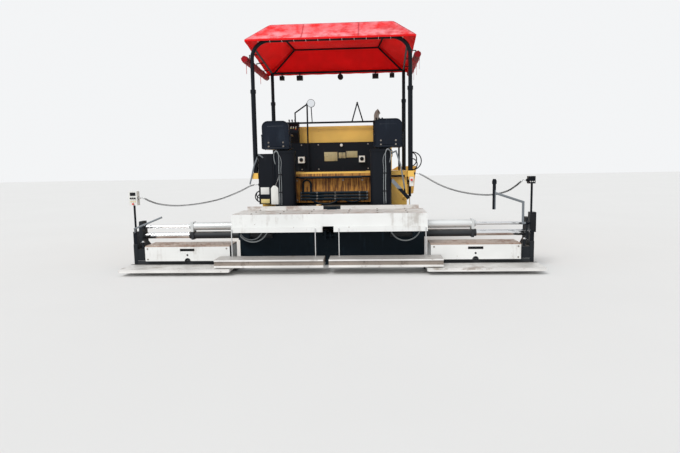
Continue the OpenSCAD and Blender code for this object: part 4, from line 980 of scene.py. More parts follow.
@dataclass
class Studio:
    """A pale floor and backdrop with a soft sky and one broad lamp."""

    floor_size: float = 120.0
    floor_z: float = -0.0015
    floor_colour: Colour = (0.74, 0.74, 0.735)
    backdrop: Colour = (0.90, 0.91, 0.92)
    sky: float = 0.74
    sky_colour: Colour = (0.97, 0.985, 1.0)
    lamp: float = 1.75
    lamp_spread: float = 0.45
    lamp_colour: Colour = (1.0, 0.985, 0.96)
    lamp_turn: Point = (44.0, -16.0, -14.0)

    def build(self) -> None:
        """Sets the plain view transform and makes the floor, the world and the lamp."""
        bpy.context.scene.view_settings.view_transform = "Standard"
        clear_selection()
        bpy.ops.mesh.primitive_plane_add(size=self.floor_size, location=(0, 0, self.floor_z))
        floor = settle(bpy.context.object, "studio_floor")
        painter = Painter("studio_floor")
        shade = painter.ramp(painter.noise(0.35, 3.0), 0.3, 0.7, 0.985, 1.0)
        colour = painter.scaled(self.floor_colour, shade)
        shader = painter.node("ShaderNodeBsdfPrincipled", Base_Color=colour, Roughness=0.95)
        dress(floor, painter.shown(shader))
        self.build_world()
        lamp = bpy.data.lights.new("lamp", "SUN")
        lamp.energy = self.lamp
        lamp.angle = self.lamp_spread
        lamp.color = self.lamp_colour
        lit = bpy.data.objects.new("lamp", lamp)
        lit.rotation_euler = [math.radians(angle) for angle in self.lamp_turn]
        bpy.context.collection.objects.link(lit)

    def build_world(self) -> None:
        """Lights with an even sky, and shows the backdrop itself, in gloss and through glass."""
        world = bpy.data.worlds.new("sky")
        world.use_nodes = True
        tree = world.node_tree
        tree.nodes.clear()
        path = tree.nodes.new("ShaderNodeLightPath")
        seen: Socket = path.outputs["Is Camera Ray"]
        for ray in ("Is Glossy Ray", "Is Transmission Ray"):
            either = tree.nodes.new("ShaderNodeMath")
            either.operation = "MAXIMUM"
            tree.links.new(seen, either.inputs[0])
            tree.links.new(path.outputs[ray], either.inputs[1])
            seen = either.outputs[0]
        mix = tree.nodes.new("ShaderNodeMixShader")
        output = tree.nodes.new("ShaderNodeOutputWorld")
        tree.links.new(seen, mix.inputs[0])
        for socket, colour, strength in ((1, self.sky_colour, self.sky), (2, self.backdrop, 1.0)):
            background = tree.nodes.new("ShaderNodeBackground")
            background.inputs["Color"].default_value = (*colour, 1.0)
            background.inputs["Strength"].default_value = strength
            tree.links.new(background.outputs[0], mix.inputs[socket])
        tree.links.new(mix.outputs[0], output.inputs["Surface"])
        bpy.context.scene.world = world


# Curly cords


def through(points: Sequence[Point], steps: int) -> list[Vector]:
    """Puts points between a route's own ones, on a smooth curve through them.

    Args:
        points: The route.
        steps: Pieces per stretch.

    Returns:
        The finer line.
    """
    route = [Vector(p) for p in points]
    line: list[Vector] = []
    for index in range(len(route) - 1):
        a, b = route[max(index - 1, 0)], route[index]
        c, d = route[index + 1], route[min(index + 2, len(route) - 1)]
        for step in range(steps):
            t = step / steps
            line.append(b + t * (c - a) / 2 + t * t * (a - 2.5 * b + 2 * c - d / 2)
                        + t ** 3 * (1.5 * b - a / 2 - 1.5 * c + d / 2))
    line.append(route[-1])
    return line


@dataclass
class CurlyCord:
    """A wound control cable that hangs from the tractor to a control stand.

    Attributes:
        side: Which side it is on.
        route: Its hanging line, as the CAD solid has it.
        wire: Diameter of the cable.
        winding: Outer diameter of its turns.
        pitch: Distance between turns.
        lead: Length over which the turns open out at each end.
        first_pitch: Distance between the turns where they open out.
        closing: Length over which the turns close up to their pitch.
        turn_points: Points for each turn.
    """

    side: str
    route: Sequence[Point]
    wire: float = 0.0054
    winding: float = 0.028
    pitch: float = 0.0112
    lead: float = 0.060
    first_pitch: float = 0.060
    closing: float = 0.020
    turn_points: int = 12

    def wound(self) -> list[Vector]:
        """Winds the cable round its route.

        Returns:
            The points that it follows.
        """
        fine = through(self.route, 24)
        marks = [0.0]
        for start, end in zip(fine, fine[1:]):
            marks.append(marks[-1] + (end - start).length)
        long = marks[-1]
        radius = (self.winding - self.wire) / 2
        points: list[Vector] = []
        at, along, angle = 0, 0.0, 0.0
        while along < long:
            while at < len(fine) - 2 and marks[at + 1] < along:
                at += 1
            step = fine[at + 1] - fine[at]
            place = fine[at] + step * ((along - marks[at]) / (marks[at + 1] - marks[at]))
            heading = step.normalized()
            flat = UP.cross(heading).normalized()
            rise = heading.cross(flat)
            nearest_end = min(along, long - along)
            opened = min(1.0, nearest_end / self.lead)
            spread = radius * opened * opened * (3 - 2 * opened)
            points.append(place + spread * (math.cos(angle) * flat + math.sin(angle) * rise))
            wound = min(1.0, max(0.0, (nearest_end - self.lead) / self.closing))
            angle += math.tau / self.turn_points
            along += (self.first_pitch + (self.pitch - self.first_pitch) * wound) / self.turn_points
        points.append(fine[-1])
        return points

    def build(self) -> None:
        points = self.wound()
        middle = len(points) // 2
        self.half(f"curly_cable_{self.side}_inner", points[:middle + 1],
                  ("tractor", "screed"), (self.route[2], points[middle]))
        self.half(f"curly_cable_{self.side}_outer", points[middle:],
                  ("screed", f"extension_{self.side}"), (points[middle], self.route[-3]))

    def half(self, name: str, points: Sequence[Vector], bodies: tuple[str, str],
             span: tuple[Sequence[float], Sequence[float]]) -> None:
        """Makes one half of the cable.

        Args:
            name: The piece's name.
            points: The points that it follows.
            bodies: The bodies that it joins; not used.
            span: Where it starts to turn from the first to the second, and where it ends; not used.
        """
        cable = bent_tube(name, points, self.wire / 2, smooth=False, sides=1)
        dress(cable, material_of(RUBBER))
        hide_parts(f"curly_cord_{self.side}")
        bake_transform(cable)


CORD_ROUTES: dict[str, Sequence[Point]] = {"left": (
    (-1.296, -1.900, 1.300), (-1.318, -1.900, 1.300), (-1.345, -1.900, 1.300), (-1.440, -1.938, 1.274),
    (-1.600, -2.030, 1.190), (-1.850, -2.160, 1.090), (-2.100, -2.280, 1.030), (-2.350, -2.420, 1.000),
    (-2.560, -2.550, 1.000), (-2.740, -2.684, 1.036), (-2.850, -2.790, 1.092), (-2.915, -2.855, 1.140),
    (-2.948, -2.870, 1.150), (-2.966, -2.870, 1.150), (-2.984, -2.870, 1.150)), "right": (
    (1.401, -1.980, 1.450), (1.423, -1.980, 1.450), (1.448, -1.980, 1.450), (1.540, -2.016, 1.408),
    (1.700, -2.080, 1.310), (1.880, -2.160, 1.220), (2.100, -2.280, 1.150), (2.350, -2.420, 1.110),
    (2.560, -2.550, 1.110), (2.750, -2.690, 1.170), (2.860, -2.795, 1.260), (2.915, -2.855, 1.323),
    (2.948, -2.870, 1.340), (2.966, -2.870, 1.340), (2.984, -2.870, 1.340))}


# Canopy


@dataclass
class CanopyRoof:
    """The hipped fabric roof with its welded seams, hem and ties.

    Attributes:
        eave_hw: Half width at the eaves.
        rear_y: The rear eave.
        rear_z: Its height.
        front_y: The front eave.
        front_z: Its height.
        rear_ridge: Half width, y and height of the rear ridge.
        front_ridge: The same of the front ridge.
        under: How far below the CAD top the fabric lies.
        sag: How far it sags between the bars.
        thick: The fabric's thickness.
        bars_y: Where bars cross under it.
        seam_x: Where the lengthwise seams run.
        soft: How softly its planes meet in a fold.
        fold_rest: Distance from a fold at which it sags fully.
        bar_rest: Distance from a bar at which it sags fully.
        eave_rest: Distance from an eave at which it sags fully.
        tie_loop: y and height along a tie round the rear hoop.
    """

    eave_hw: float = 1.410
    rear_y: float = -2.080
    rear_z: float = 3.722
    front_y: float = -0.020
    front_z: float = 3.4903
    rear_ridge: Point = (1.060, -1.650, 4.050)
    front_ridge: Point = (0.880, -0.310, 3.905)
    under: float = 0.0215
    sag: float = 0.030
    thick: float = 0.003
    bars_y: Sequence[float] = (-1.610, -1.000, -0.350)
    seam_x: Sequence[float] = (-0.47, 0.47)
    soft: float = 0.007
    fold_rest: float = 0.16
    bar_rest: float = 0.30
    eave_rest: float = 0.20
    tie_loop: Sequence[tuple[float, float]] = (
        (-2.076, 3.694), (-2.03, 3.681), (-1.978, 3.668), (-1.935, 3.672), (-1.913, 3.700),
        (-1.935, 3.733), (-1.985, 3.728), (-2.03, 3.708), (-2.074, 3.704))

    def slope(self, three: Sequence[Point], x: float, y: float) -> float:
        """Finds how high the plane through three points is at a place.

        Args:
            three: The points.
            x: The place across the machine.
            y: The place along it.

        Returns:
            The height.
        """
        a, b, c = (Vector(p) for p in three)
        normal = (b - a).cross(c - a)
        return a.z - (normal.x * (x - a.x) + normal.y * (y - a.y)) / normal.z

    def height(self, x: float, y: float) -> float:
        """Height of the fabric.

        Args:
            x: Across the machine.
            y: Along it.

        Returns:
            The height of its middle layer, with rounded folds and its sag.
        """
        out = abs(x)
        rear = (self.eave_hw, self.rear_y, self.rear_z)
        front = (self.eave_hw, self.front_y, self.front_z)
        planes = (
            self.slope((rear, (0, self.rear_y, self.rear_z), self.rear_ridge), out, y),
            self.slope((self.rear_ridge, (0, *self.rear_ridge[1:]), self.front_ridge), out, y),
            self.slope((front, (0, self.front_y, self.front_z), self.front_ridge), out, y),
            self.slope((rear, self.rear_ridge, front), out, y),
            self.slope((self.rear_ridge, self.front_ridge, front), out, y))
        lowest = min(planes)
        folded = sum(math.exp((lowest - plane) / self.soft) for plane in planes)
        plain = lowest - self.soft * math.log(folded)
        return plain - self.under - self.sag * self.slack(out, y, planes)

    def slack(self, out: float, y: float, planes: Sequence[float]) -> float:
        """Works out how much of the sag a place has.

        Args:
            out: Distance from the machine's middle.
            y: Where it is along the machine.
            planes: Heights of the roof's planes there.

        Returns:
            The share, which is none over a bar, fold or eave.
        """
        order = sorted(planes)
        off_fold = min(1.0, (order[1] - order[0]) / self.fold_rest)
        beside = min(abs(y - bar) for bar in self.bars_y)
        edge = min(self.eave_hw - out, y - self.rear_y, self.front_y - y)
        top = min(1.0, beside / self.bar_rest) if planes[1] == order[0] else 0.8
        ripple = 0.10 * math.sin(9.0 * y + 3.0 * out) + 0.07 * math.sin(17.0 * out - 5.0 * y)
        return off_fold * top * min(1.0, max(edge, 0.0) / self.eave_rest) * (1.0 + ripple)

    def build_sheet(self) -> Piece:
        """Makes the sheet with its turned-down hem.

        Returns:
            The sheet.
        """
        clear_selection()
        bpy.ops.mesh.primitive_grid_add(x_subdivisions=88, y_subdivisions=68, size=1)
        sheet = bpy.context.object
        for vertex in sheet.data.vertices:
            x = vertex.co.x * 2 * self.eave_hw
            y = self.rear_y + (vertex.co.y + 0.5) * (self.front_y - self.rear_y)
            vertex.co = (x, y, self.height(x, y))
        bpy.ops.object.mode_set(mode="EDIT")
        bpy.ops.mesh.select_all(action="DESELECT")
        bpy.ops.mesh.select_mode(type="EDGE")
        bpy.ops.mesh.select_non_manifold(extend=False)
        for drop in (0.006, 0.024):
            bpy.ops.mesh.extrude_edges_move(TRANSFORM_OT_translate={"value": (0, 0, -drop)})
        bpy.ops.object.mode_set(mode="OBJECT")
        for vertex in sheet.data.vertices:
            place = vertex.co
            if place.z < self.height(place.x, place.y) - 0.010:
                place.z += 0.004 * math.sin(21 * place.x) * math.sin(17 * place.y + 1.0)
        settle(sheet, "roof_fabric")
        thickened(sheet, self.thick, -1.0, 50)
        return sheet

    def seam(self, name: str, ends: Sequence[tuple[float, float]], width: float = 0.012) -> Piece:
        """Makes a straight welded seam on the roof.

        Args:
            name: The piece's name.
            ends: x and y of its two ends.
            width: Half its width.

        Returns:
            The raised strip.
        """
        start, end = (Vector((*place, 0.0)) for place in ends)
        along = end - start
        across = Vector((-along.y, along.x, 0)).normalized() * width
        count = max(2, int(along.length / 0.035))
        clear_selection()
        bpy.ops.mesh.primitive_grid_add(x_subdivisions=count, y_subdivisions=2, size=1)
        strip = bpy.context.object
        for vertex in strip.data.vertices:
            step = round((vertex.co.x + 0.5) * count)
            place = start + along * (step / count) + across * round(vertex.co.y * 2)
            place.x = max(-self.eave_hw, min(self.eave_hw, place.x))
            place.y = max(self.rear_y, min(self.front_y, place.y))
            lift = 0.0022 if abs(vertex.co.y) < 0.25 else 0.0006
            vertex.co = (place.x, place.y, self.height(place.x, place.y) + lift)
        settle(strip, name)
        bpy.ops.object.mode_set(mode="EDIT")
        bpy.ops.mesh.select_all(action="SELECT")
        bpy.ops.mesh.normals_make_consistent(inside=False)
        bpy.ops.object.mode_set(mode="OBJECT")
        bpy.ops.object.shade_smooth()
        return strip

    def build(self) -> None:
        """Makes the roof, its seams and the ties round the rear hoop."""
        sheet = self.build_sheet()
        hand_over(sheet, "canopy", RED_FABRIC)
        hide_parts("canopy_sheet")
        rr, fr = self.rear_ridge, self.front_ridge
        lines = [((x, self.rear_y + 0.004), (x, self.front_y - 0.004)) for x in self.seam_x]
        for side in (-1, 1):
            lines.append(((side * rr[0], rr[1]), (side * fr[0], fr[1])))
            lines.append(((side * self.eave_hw, self.rear_y), (side * rr[0], rr[1])))
            lines.append(((side * fr[0], fr[1]), (side * self.eave_hw, self.front_y)))
        lines += [((-x, y), (x, y)) for x, y, _ in (rr, fr)]
        seams = fit("roof_seams", [self.seam(f"seam_{k}", line) for k, line in enumerate(lines)],
                    "canopy", SEAM_RED)
        ties = [bent_tube("tie", [(x, y, z) for y, z in self.tie_loop], 0.003, sides=1)
                for x in (-1.2 + 0.2 * step for step in range(13))]
        fit("roof_ties", ties, "canopy", replace(PALE_PLASTIC, slot=RED_FABRIC.slot))


@dataclass
class RolledAwning:
    """A side awning rolled up under the eave and strapped to its hooks.

    Attributes:
        side: Which side it is on.
        middle_x: Distance of its middle from the machine's middle.
        height: Height of its middle.
        radius: The roll's radius.
        rear_y: Its rear end.
        front_y: Its front end.
        straps_y: Where the straps are.
    """

    side: str
    middle_x: float = 1.440
    height: float = 3.400
    radius: float = 0.0605
    rear_y: float = -2.020
    front_y: float = -0.040
    straps_y: Sequence[float] = (-1.60, -1.00, -0.40)

    def build(self) -> None:
        """Makes the roll, its straps and their hanging ends."""
        sign = SIDES[self.side]
        middle = Vector((sign * self.middle_x, (self.rear_y + self.front_y) / 2, self.height))
        clear_selection()
        bpy.ops.mesh.primitive_cylinder_add(vertices=56, radius=self.radius,
                                            depth=self.front_y - self.rear_y, location=middle,
                                            rotation=(math.radians(90), 0, 0))
        roll = settle(bpy.context.object, f"awning_roll_{self.side}")
        pick_edges(roll, lambda a, b: abs(a.y - b.y) > 0.5)
        bpy.ops.mesh.subdivide(number_cuts=88)
        bpy.ops.object.mode_set(mode="OBJECT")
        self.crumple(roll, middle, sign)
        bpy.ops.object.shade_smooth_by_angle(angle=math.radians(48))
        hand_over(roll, "canopy", DARK_RED)
        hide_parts("rolled_awnings")
        straps = [part for y in self.straps_y for part in self.strap(y, middle[0], sign)]
        fit(f"awning_straps_{self.side}", straps, "canopy", WEBBING)

    def crumple(self, roll: Piece, middle: Vector, sign: int) -> None:
        """Gives the roll its folds, its outer edge, its tucked ends and its pinch under each strap.

        Args:
            roll: The plain roll.
            middle: Its middle.
            sign: 1 on the right.
        """
        rng = random.Random(7 if sign > 0 else 11)
        phases = [rng.uniform(0, math.tau) for _ in range(3)]
        for vertex in roll.data.vertices:
            angle = math.atan2(vertex.co.z - middle.z, (vertex.co.x - middle.x) * sign)
            y = vertex.co.y
            pinch = groove(min(abs(y - strap) for strap in self.straps_y), 1.0, 0.045)
            folds = (0.045 * math.sin(5 * angle + 4.0 * y + phases[0])
                     + 0.035 * math.sin(9 * angle - 7.0 * y + phases[1])
                     + 0.03 * math.sin(14.0 * y + 2 * angle + phases[2]))
            edge = 0.07 * (((angle + 0.9) % math.tau) / math.tau)
            ends = 0.10 * math.exp(-min(y - self.rear_y, self.front_y - y) / 0.03)
            share = min(1.0, 0.90 - 0.13 * pinch + (1 - pinch) * folds + edge - ends)
            vertex.co.x = middle.x + (vertex.co.x - middle.x) * share
            vertex.co.z = middle.z + (vertex.co.z - middle.z) * share

    def strap(self, y: float, x: float, sign: int) -> list[Piece]:
        """Makes one strap with its buckle and its hanging end.

        Args:
            y: Where it is.
            x: Middle of the roll.
            sign: 1 on the right.

        Returns:
            Its pieces.
        """
        clear_selection()
        bpy.ops.mesh.primitive_cylinder_add(vertices=40, radius=self.radius * 0.97, depth=0.030,
                                            end_fill_type="NOTHING", location=(x, y, self.height),
                                            rotation=(math.radians(90), 0, 0))
        band = settle(bpy.context.object, "band")
        thickened(band, 0.0025, 1.0, 40)
        outer = x + sign * (self.radius - 0.001)
        buckle = block("buckle", (outer - 0.004, y - 0.020, self.height - 0.030),
                       (outer + 0.006, y + 0.020, self.height + 0.012), 0.003)
        end = block("end", (outer - 0.0015, y - 0.014, self.height - 0.175),
                    (outer + 0.0015, y + 0.014, self.height - 0.020), 0.001)
        return [band, buckle, end]


# Seats


STUFFING_FRAMES = 20


def stuffed(piece: Piece, voxel: float, pressure: float, cap: float) -> None:
    """Swells a cushion's block with a short cloth simulation and leaves the result in its mesh.

    Args:
        piece: The block.
        voxel: Size of the voxels that it is remeshed with.
        pressure: The air pressure inside.
        cap: How far a point may move.
    """
    modify(piece, "REMESH", mode="VOXEL", voxel_size=voxel)
    start = [vertex.co.copy() for vertex in piece.data.vertices]
    cloth = piece.modifiers.new("stuffing", "CLOTH")
    cloth.settings.use_pressure = True
    cloth.settings.uniform_pressure_force = pressure
    cloth.settings.effector_weights.gravity = 0.0
    cloth.settings.quality = 4
    cloth.point_cache.frame_end = STUFFING_FRAMES
    for step in range(1, STUFFING_FRAMES + 1):
        bpy.context.scene.frame_set(step)
    bpy.ops.object.modifier_apply(modifier=cloth.name)
    bpy.context.scene.frame_set(1)
    for vertex, place in zip(piece.data.vertices, start):
        move = vertex.co - place
        if move.length > cap:
            vertex.co = place + move.normalized() * cap
    modify(piece, "SMOOTH", iterations=6, factor=0.5)


@dataclass
class SeatCushions:
    """The cushions of one driver's seat: stuffed, with sewn channels and piping.

    Attributes:
        side: Which seat.
        middle_x: Distance of the seat's middle from the machine's middle.
        half_width: Half the cushions' width.
        seat_y: Rear and front of the seat cushion.
        seat_z: Its underside and its top.
        back_z: Bottom and top of the back cushion.
        back_thick: Thickness of the back cushion.
        inset: How much smaller the blocks start, because they swell.
        corner: Radius of the back cushion's upper corners.
        voxel: Size of the voxels that the blocks are remeshed with.
        pressure: The stuffing's pressure.
        swell: How far the stuffing may push a point.
        limit: Half the width that the cushions may swell to.
        side_channel: Distance of the long channels from the middle.
    """

    side: str
    middle_x: float = 0.950
    half_width: float = 0.218
    seat_y: tuple[float, float] = (-1.960, -1.505)
    seat_z: tuple[float, float] = (1.9304, 2.020)
    back_z: tuple[float, float] = (2.021, 2.360)
    back_thick: float = 0.079
    inset: float = 0.009
    corner: float = 0.095
    voxel: float = 0.007
    pressure: float = 4.0
    swell: float = 0.016
    limit: float = 0.2275
    side_channel: float = 0.135

    def back_y(self, z: float) -> float:
        """Where the seat's back plate is at a height."""
        return -1.975 - 0.035 * (z - 1.900) / 0.470 + 0.0004

    def build(self) -> None:
        x = SIDES[self.side] * self.middle_x
        seat = self.seat(x)
        back = self.back(x)
        for piece in (seat, back):
            hand_over(piece, f"seat_{self.side}", SEAT_VINYL)
            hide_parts(f"seat_cushions_{self.side}")
        piping = [self.piping(seat, x, 2, self.seat_y, 0.62 * self.seat_z[1] + 0.38 * self.seat_z[0]),
                  self.piping(back, x, 1, self.back_z, self.back_y(2.2) + self.back_thick * 0.72)]
        fit(f"seat_piping_{self.side}", piping, f"seat_{self.side}", PIPING)

    def channels(self, place: float, span: tuple[float, float], shares: Sequence[float],
                 beside: float) -> float:
        """Depth of the sewn channels, two across the middle and one along each side.

        Args:
            place: Where it is along the cushion.
            span: The cushion's ends.
            shares: Where the cross channels are, as shares of its length.
            beside: Distance from the cushion's middle line.

        Returns:
            How far the channels lie below the surface.
        """
        across = min(abs(place - span[0] - share * (span[1] - span[0])) for share in shares)
        crossing = groove(across, 0.010, 0.010) if beside < self.side_channel else 0.0
        return crossing + groove(beside - self.side_channel, 0.009, 0.009)

    def seat(self, x: float) -> Piece:
        """Makes the seat cushion, with channels and a crown on its upper half.

        Args:
            x: The seat's middle.

        Returns:
            The cushion.
        """
        half = self.half_width - self.inset
        low = (x - half, self.seat_y[0] + self.inset, self.seat_z[0])
        high = (x + half, self.seat_y[1] - self.inset, self.seat_z[1] - self.inset)
        piece = block(f"seat_cushion_{self.side}", low, high, 0.024)
        stuffed(piece, self.voxel, self.pressure, self.swell)
        for vertex in piece.data.vertices:
            co = vertex.co
            beside = abs(co.x - x)
            if co.z > sum(self.seat_z) / 2:
                crown = 0.010 * (1 - min(1.0, (beside / 0.2) ** 2)) - 0.004
                co.z += crown - self.channels(co.y, self.seat_y, (0.36, 0.66), beside)
            co.z = min(max(co.z, self.seat_z[0]), self.back_z[0] + 0.004)
            co.x = x + max(-self.limit, min(self.limit, co.x - x))
        bpy.ops.object.shade_smooth()
        return piece

    def back(self, x: float) -> Piece:
        """Makes the back cushion, which leans with the seat's back plate.

        Args:
            x: The seat's middle.

        Returns:
            The cushion.
        """
        half = self.half_width - self.inset
        top = self.back_z[1] - self.inset
        piece = slab_block(f"back_cushion_{self.side}", (x - half, 0.0, self.back_z[0] + self.inset),
                           (x + half, self.back_thick - self.inset, top))
        bevel_edges(piece, lambda a, b: min(a.z, b.z) > top - 0.001 and abs(a.y - b.y) > 0.001,
                    self.corner, 8)
        rounded(piece, 0.022)
        stuffed(piece, self.voxel, self.pressure, self.swell)
        for vertex in piece.data.vertices:
            co = vertex.co
            if co.y > self.back_thick / 2:
                co.y -= self.channels(co.z, self.back_z, (0.33, 0.66), abs(co.x - x))
            co.y = max(co.y, 0.0) + self.back_y(co.z)
            co.x = x + max(-self.limit, min(self.limit, co.x - x))
            co.z = max(co.z, self.back_z[0] + 0.006)
        bpy.ops.object.shade_smooth()
        return piece

    def piping(self, cushion: Piece, x: float, axis: int, span: tuple[float, float],
               level: float) -> Piece:
        """Lays a cord of piping on a cushion's edge, following the stuffed surface.

        Args:
            cushion: The cushion.
            x: Its middle across.
            axis: 2 for the seat cushion, 1 for the back cushion.
            span: Its extent along the other axis.
            level: Where the piping runs along that axis.

        Returns:
            The piping.
        """
        middle = sum(span) / 2
        half = (span[1] - span[0]) / 2
        count = 72
        points: list[Point] = []
        for step in range(count):
            cos, sin = math.cos(math.tau * step / count), math.sin(math.tau * step / count)
            u = math.copysign(abs(cos) ** 0.28, cos) * self.half_width
            v = middle + math.copysign(abs(sin) ** 0.28, sin) * half
            guess = Vector((x + u, v, level)) if axis == 2 else Vector((x + u, level, v))
            found, place, _, _ = cushion.closest_point_on_mesh(guess)
            points.append(tuple(place if found else guess))
        return bent_tube("piping", points, 0.0032, sides=1, cyclic=True)


@dataclass
class SeatShell:
    """The moulded shell of one driver's seat with its pan, arm rests and swivel.

    Attributes:
        side: Which seat.
        middle_x: Distance of the seat's middle from the machine's middle.
        half_width: Half its width.
        pan_low: Rear and underside of the pan.
        pan_high: Front and top of the pan.
        back_top: Height of the back's top.
        corner: Radius of the back's upper corners.
        swivel: Distance of the turning axis from the middle, and its y.
        foot_z: Underside of the swivel.
        arm_z: Top of the arm rests.
    """

    side: str
    middle_x: float = 0.950
    half_width: float = 0.230
    pan_low: tuple[float, float] = (-2.000, 1.900)
    pan_high: tuple[float, float] = (-1.520, 1.930)
    back_top: float = 2.370
    corner: float = 0.105
    swivel: tuple[float, float] = (0.880, -1.800)
    foot_z: float = 1.8703
    arm_z: float = 2.150

    def build(self) -> None:
        """Makes the shell in one piece and its bolts."""
        x = SIDES[self.side] * self.middle_x
        body = f"seat_{self.side}"
        parts = [self.back(x), self.pan(x), *self.arms(x), *self.foot()]
        shell = fit(f"seat_shell_{self.side}", parts, body, SEAT_SHELL)
        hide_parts(body)
        rows = [(x + dx, self.rear_y(z), z) for dx in (-0.125, 0.125) for z in (1.945, 2.010)]
        bolts(f"seat_bolts_{self.side}", rows, Facing.REAR, 0.010, body)

    def share(self, z: float) -> float:
        """How far up the back a height is, from 0 to 1."""
        return (z - self.pan_low[1]) / (self.back_top - self.pan_low[1])

    def rear_y(self, z: float) -> float:
        """Where the back's rear face is at a height."""
        return self.pan_low[0] - 0.045 * self.share(z)

    def back(self, x: float) -> Piece:
        """Makes the leaning back with round upper corners, a rim, a recess and a raised middle.

        Args:
            x: The seat's middle.

        Returns:
            The back.
        """
        piece = slab_block("back", (x - self.half_width, -1.0, self.pan_low[1]),
                           (x + self.half_width, 0.0, self.back_top))
        upright = (self.pan_low[1] + self.back_top) / 2
        bevel_edges(piece, lambda a, b: abs(a.y - b.y) > 0.5 and a.z > upright, self.corner, 9)
        bevel_edges(piece, lambda a, b: abs(a.y - b.y) > 0.5 and a.z < upright - 0.2, 0.040, 5)
        pick_faces(piece, Vector(Facing.REAR.value))
        for inset, move in ((0.012, 0.0), (0.010, 0.28), (0.060, 0.0), (0.010, -0.22)):
            bpy.ops.mesh.inset(thickness=inset, use_even_offset=False)
            if move:
                bpy.ops.transform.translate(value=(0.0, move, 0.0))
        bpy.ops.object.mode_set(mode="OBJECT")
        for vertex in piece.data.vertices:
            share = self.share(vertex.co.z)
            front = self.pan_low[0] + 0.025 - 0.035 * share
            vertex.co.y = front + vertex.co.y * (0.025 + 0.010 * share)
        rounded(piece, 0.0045, 3, 25)
        return piece

    def pan(self, x: float) -> Piece:
        """Makes the pan with its round corners and a front lip.

        Args:
            x: The seat's middle.

        Returns:
            The pan.
        """
        piece = slab_block("pan", (x - self.half_width, *self.pan_low),
                           (x + self.half_width, *self.pan_high))
        bevel_edges(piece, lambda a, b: abs(a.z - b.z) > 0.01 and a.y > -1.8, 0.060, 6)
        rounded(piece, 0.006, 3)
        return piece

    def arms(self, x: float) -> list[Piece]:
        """Makes both arm rests, each an upright with a padded bar.

        Args:
            x: The seat's middle.

        Returns:
            The uprights and the bars.
        """
        made: list[Piece] = []
        for low in (x - self.half_width - 0.025, x + self.half_width):
            high = low + 0.025
            made.append(block("upright", (low + 0.004, -1.985, 1.908), (high - 0.004, -1.957, 2.130),
                              0.006))
            pad = slab_block("pad", (low, -1.988, self.arm_z - 0.036), (high, -1.680, self.arm_z))
            bevel_edges(pad, lambda a, b: abs(a.x - b.x) > 0.01 and a.y > -1.7, 0.016, 4)
            rounded(pad, 0.008, 3)
            made.append(pad)
        return made

    def foot(self) -> list[Piece]:
        """Makes the three rings of the swivel.

        Returns:
            The rings.
        """
        middle = Vector((SIDES[self.side] * self.swivel[0], self.swivel[1], self.foot_z))
        return [post("ring", middle, UP, low, high, radius, 40, edge=0.003) for low, high, radius in
                ((0.0, 0.010, 0.119), (0.009, 0.021, 0.108), (0.019, 0.0375, 0.114))]


# Fittings


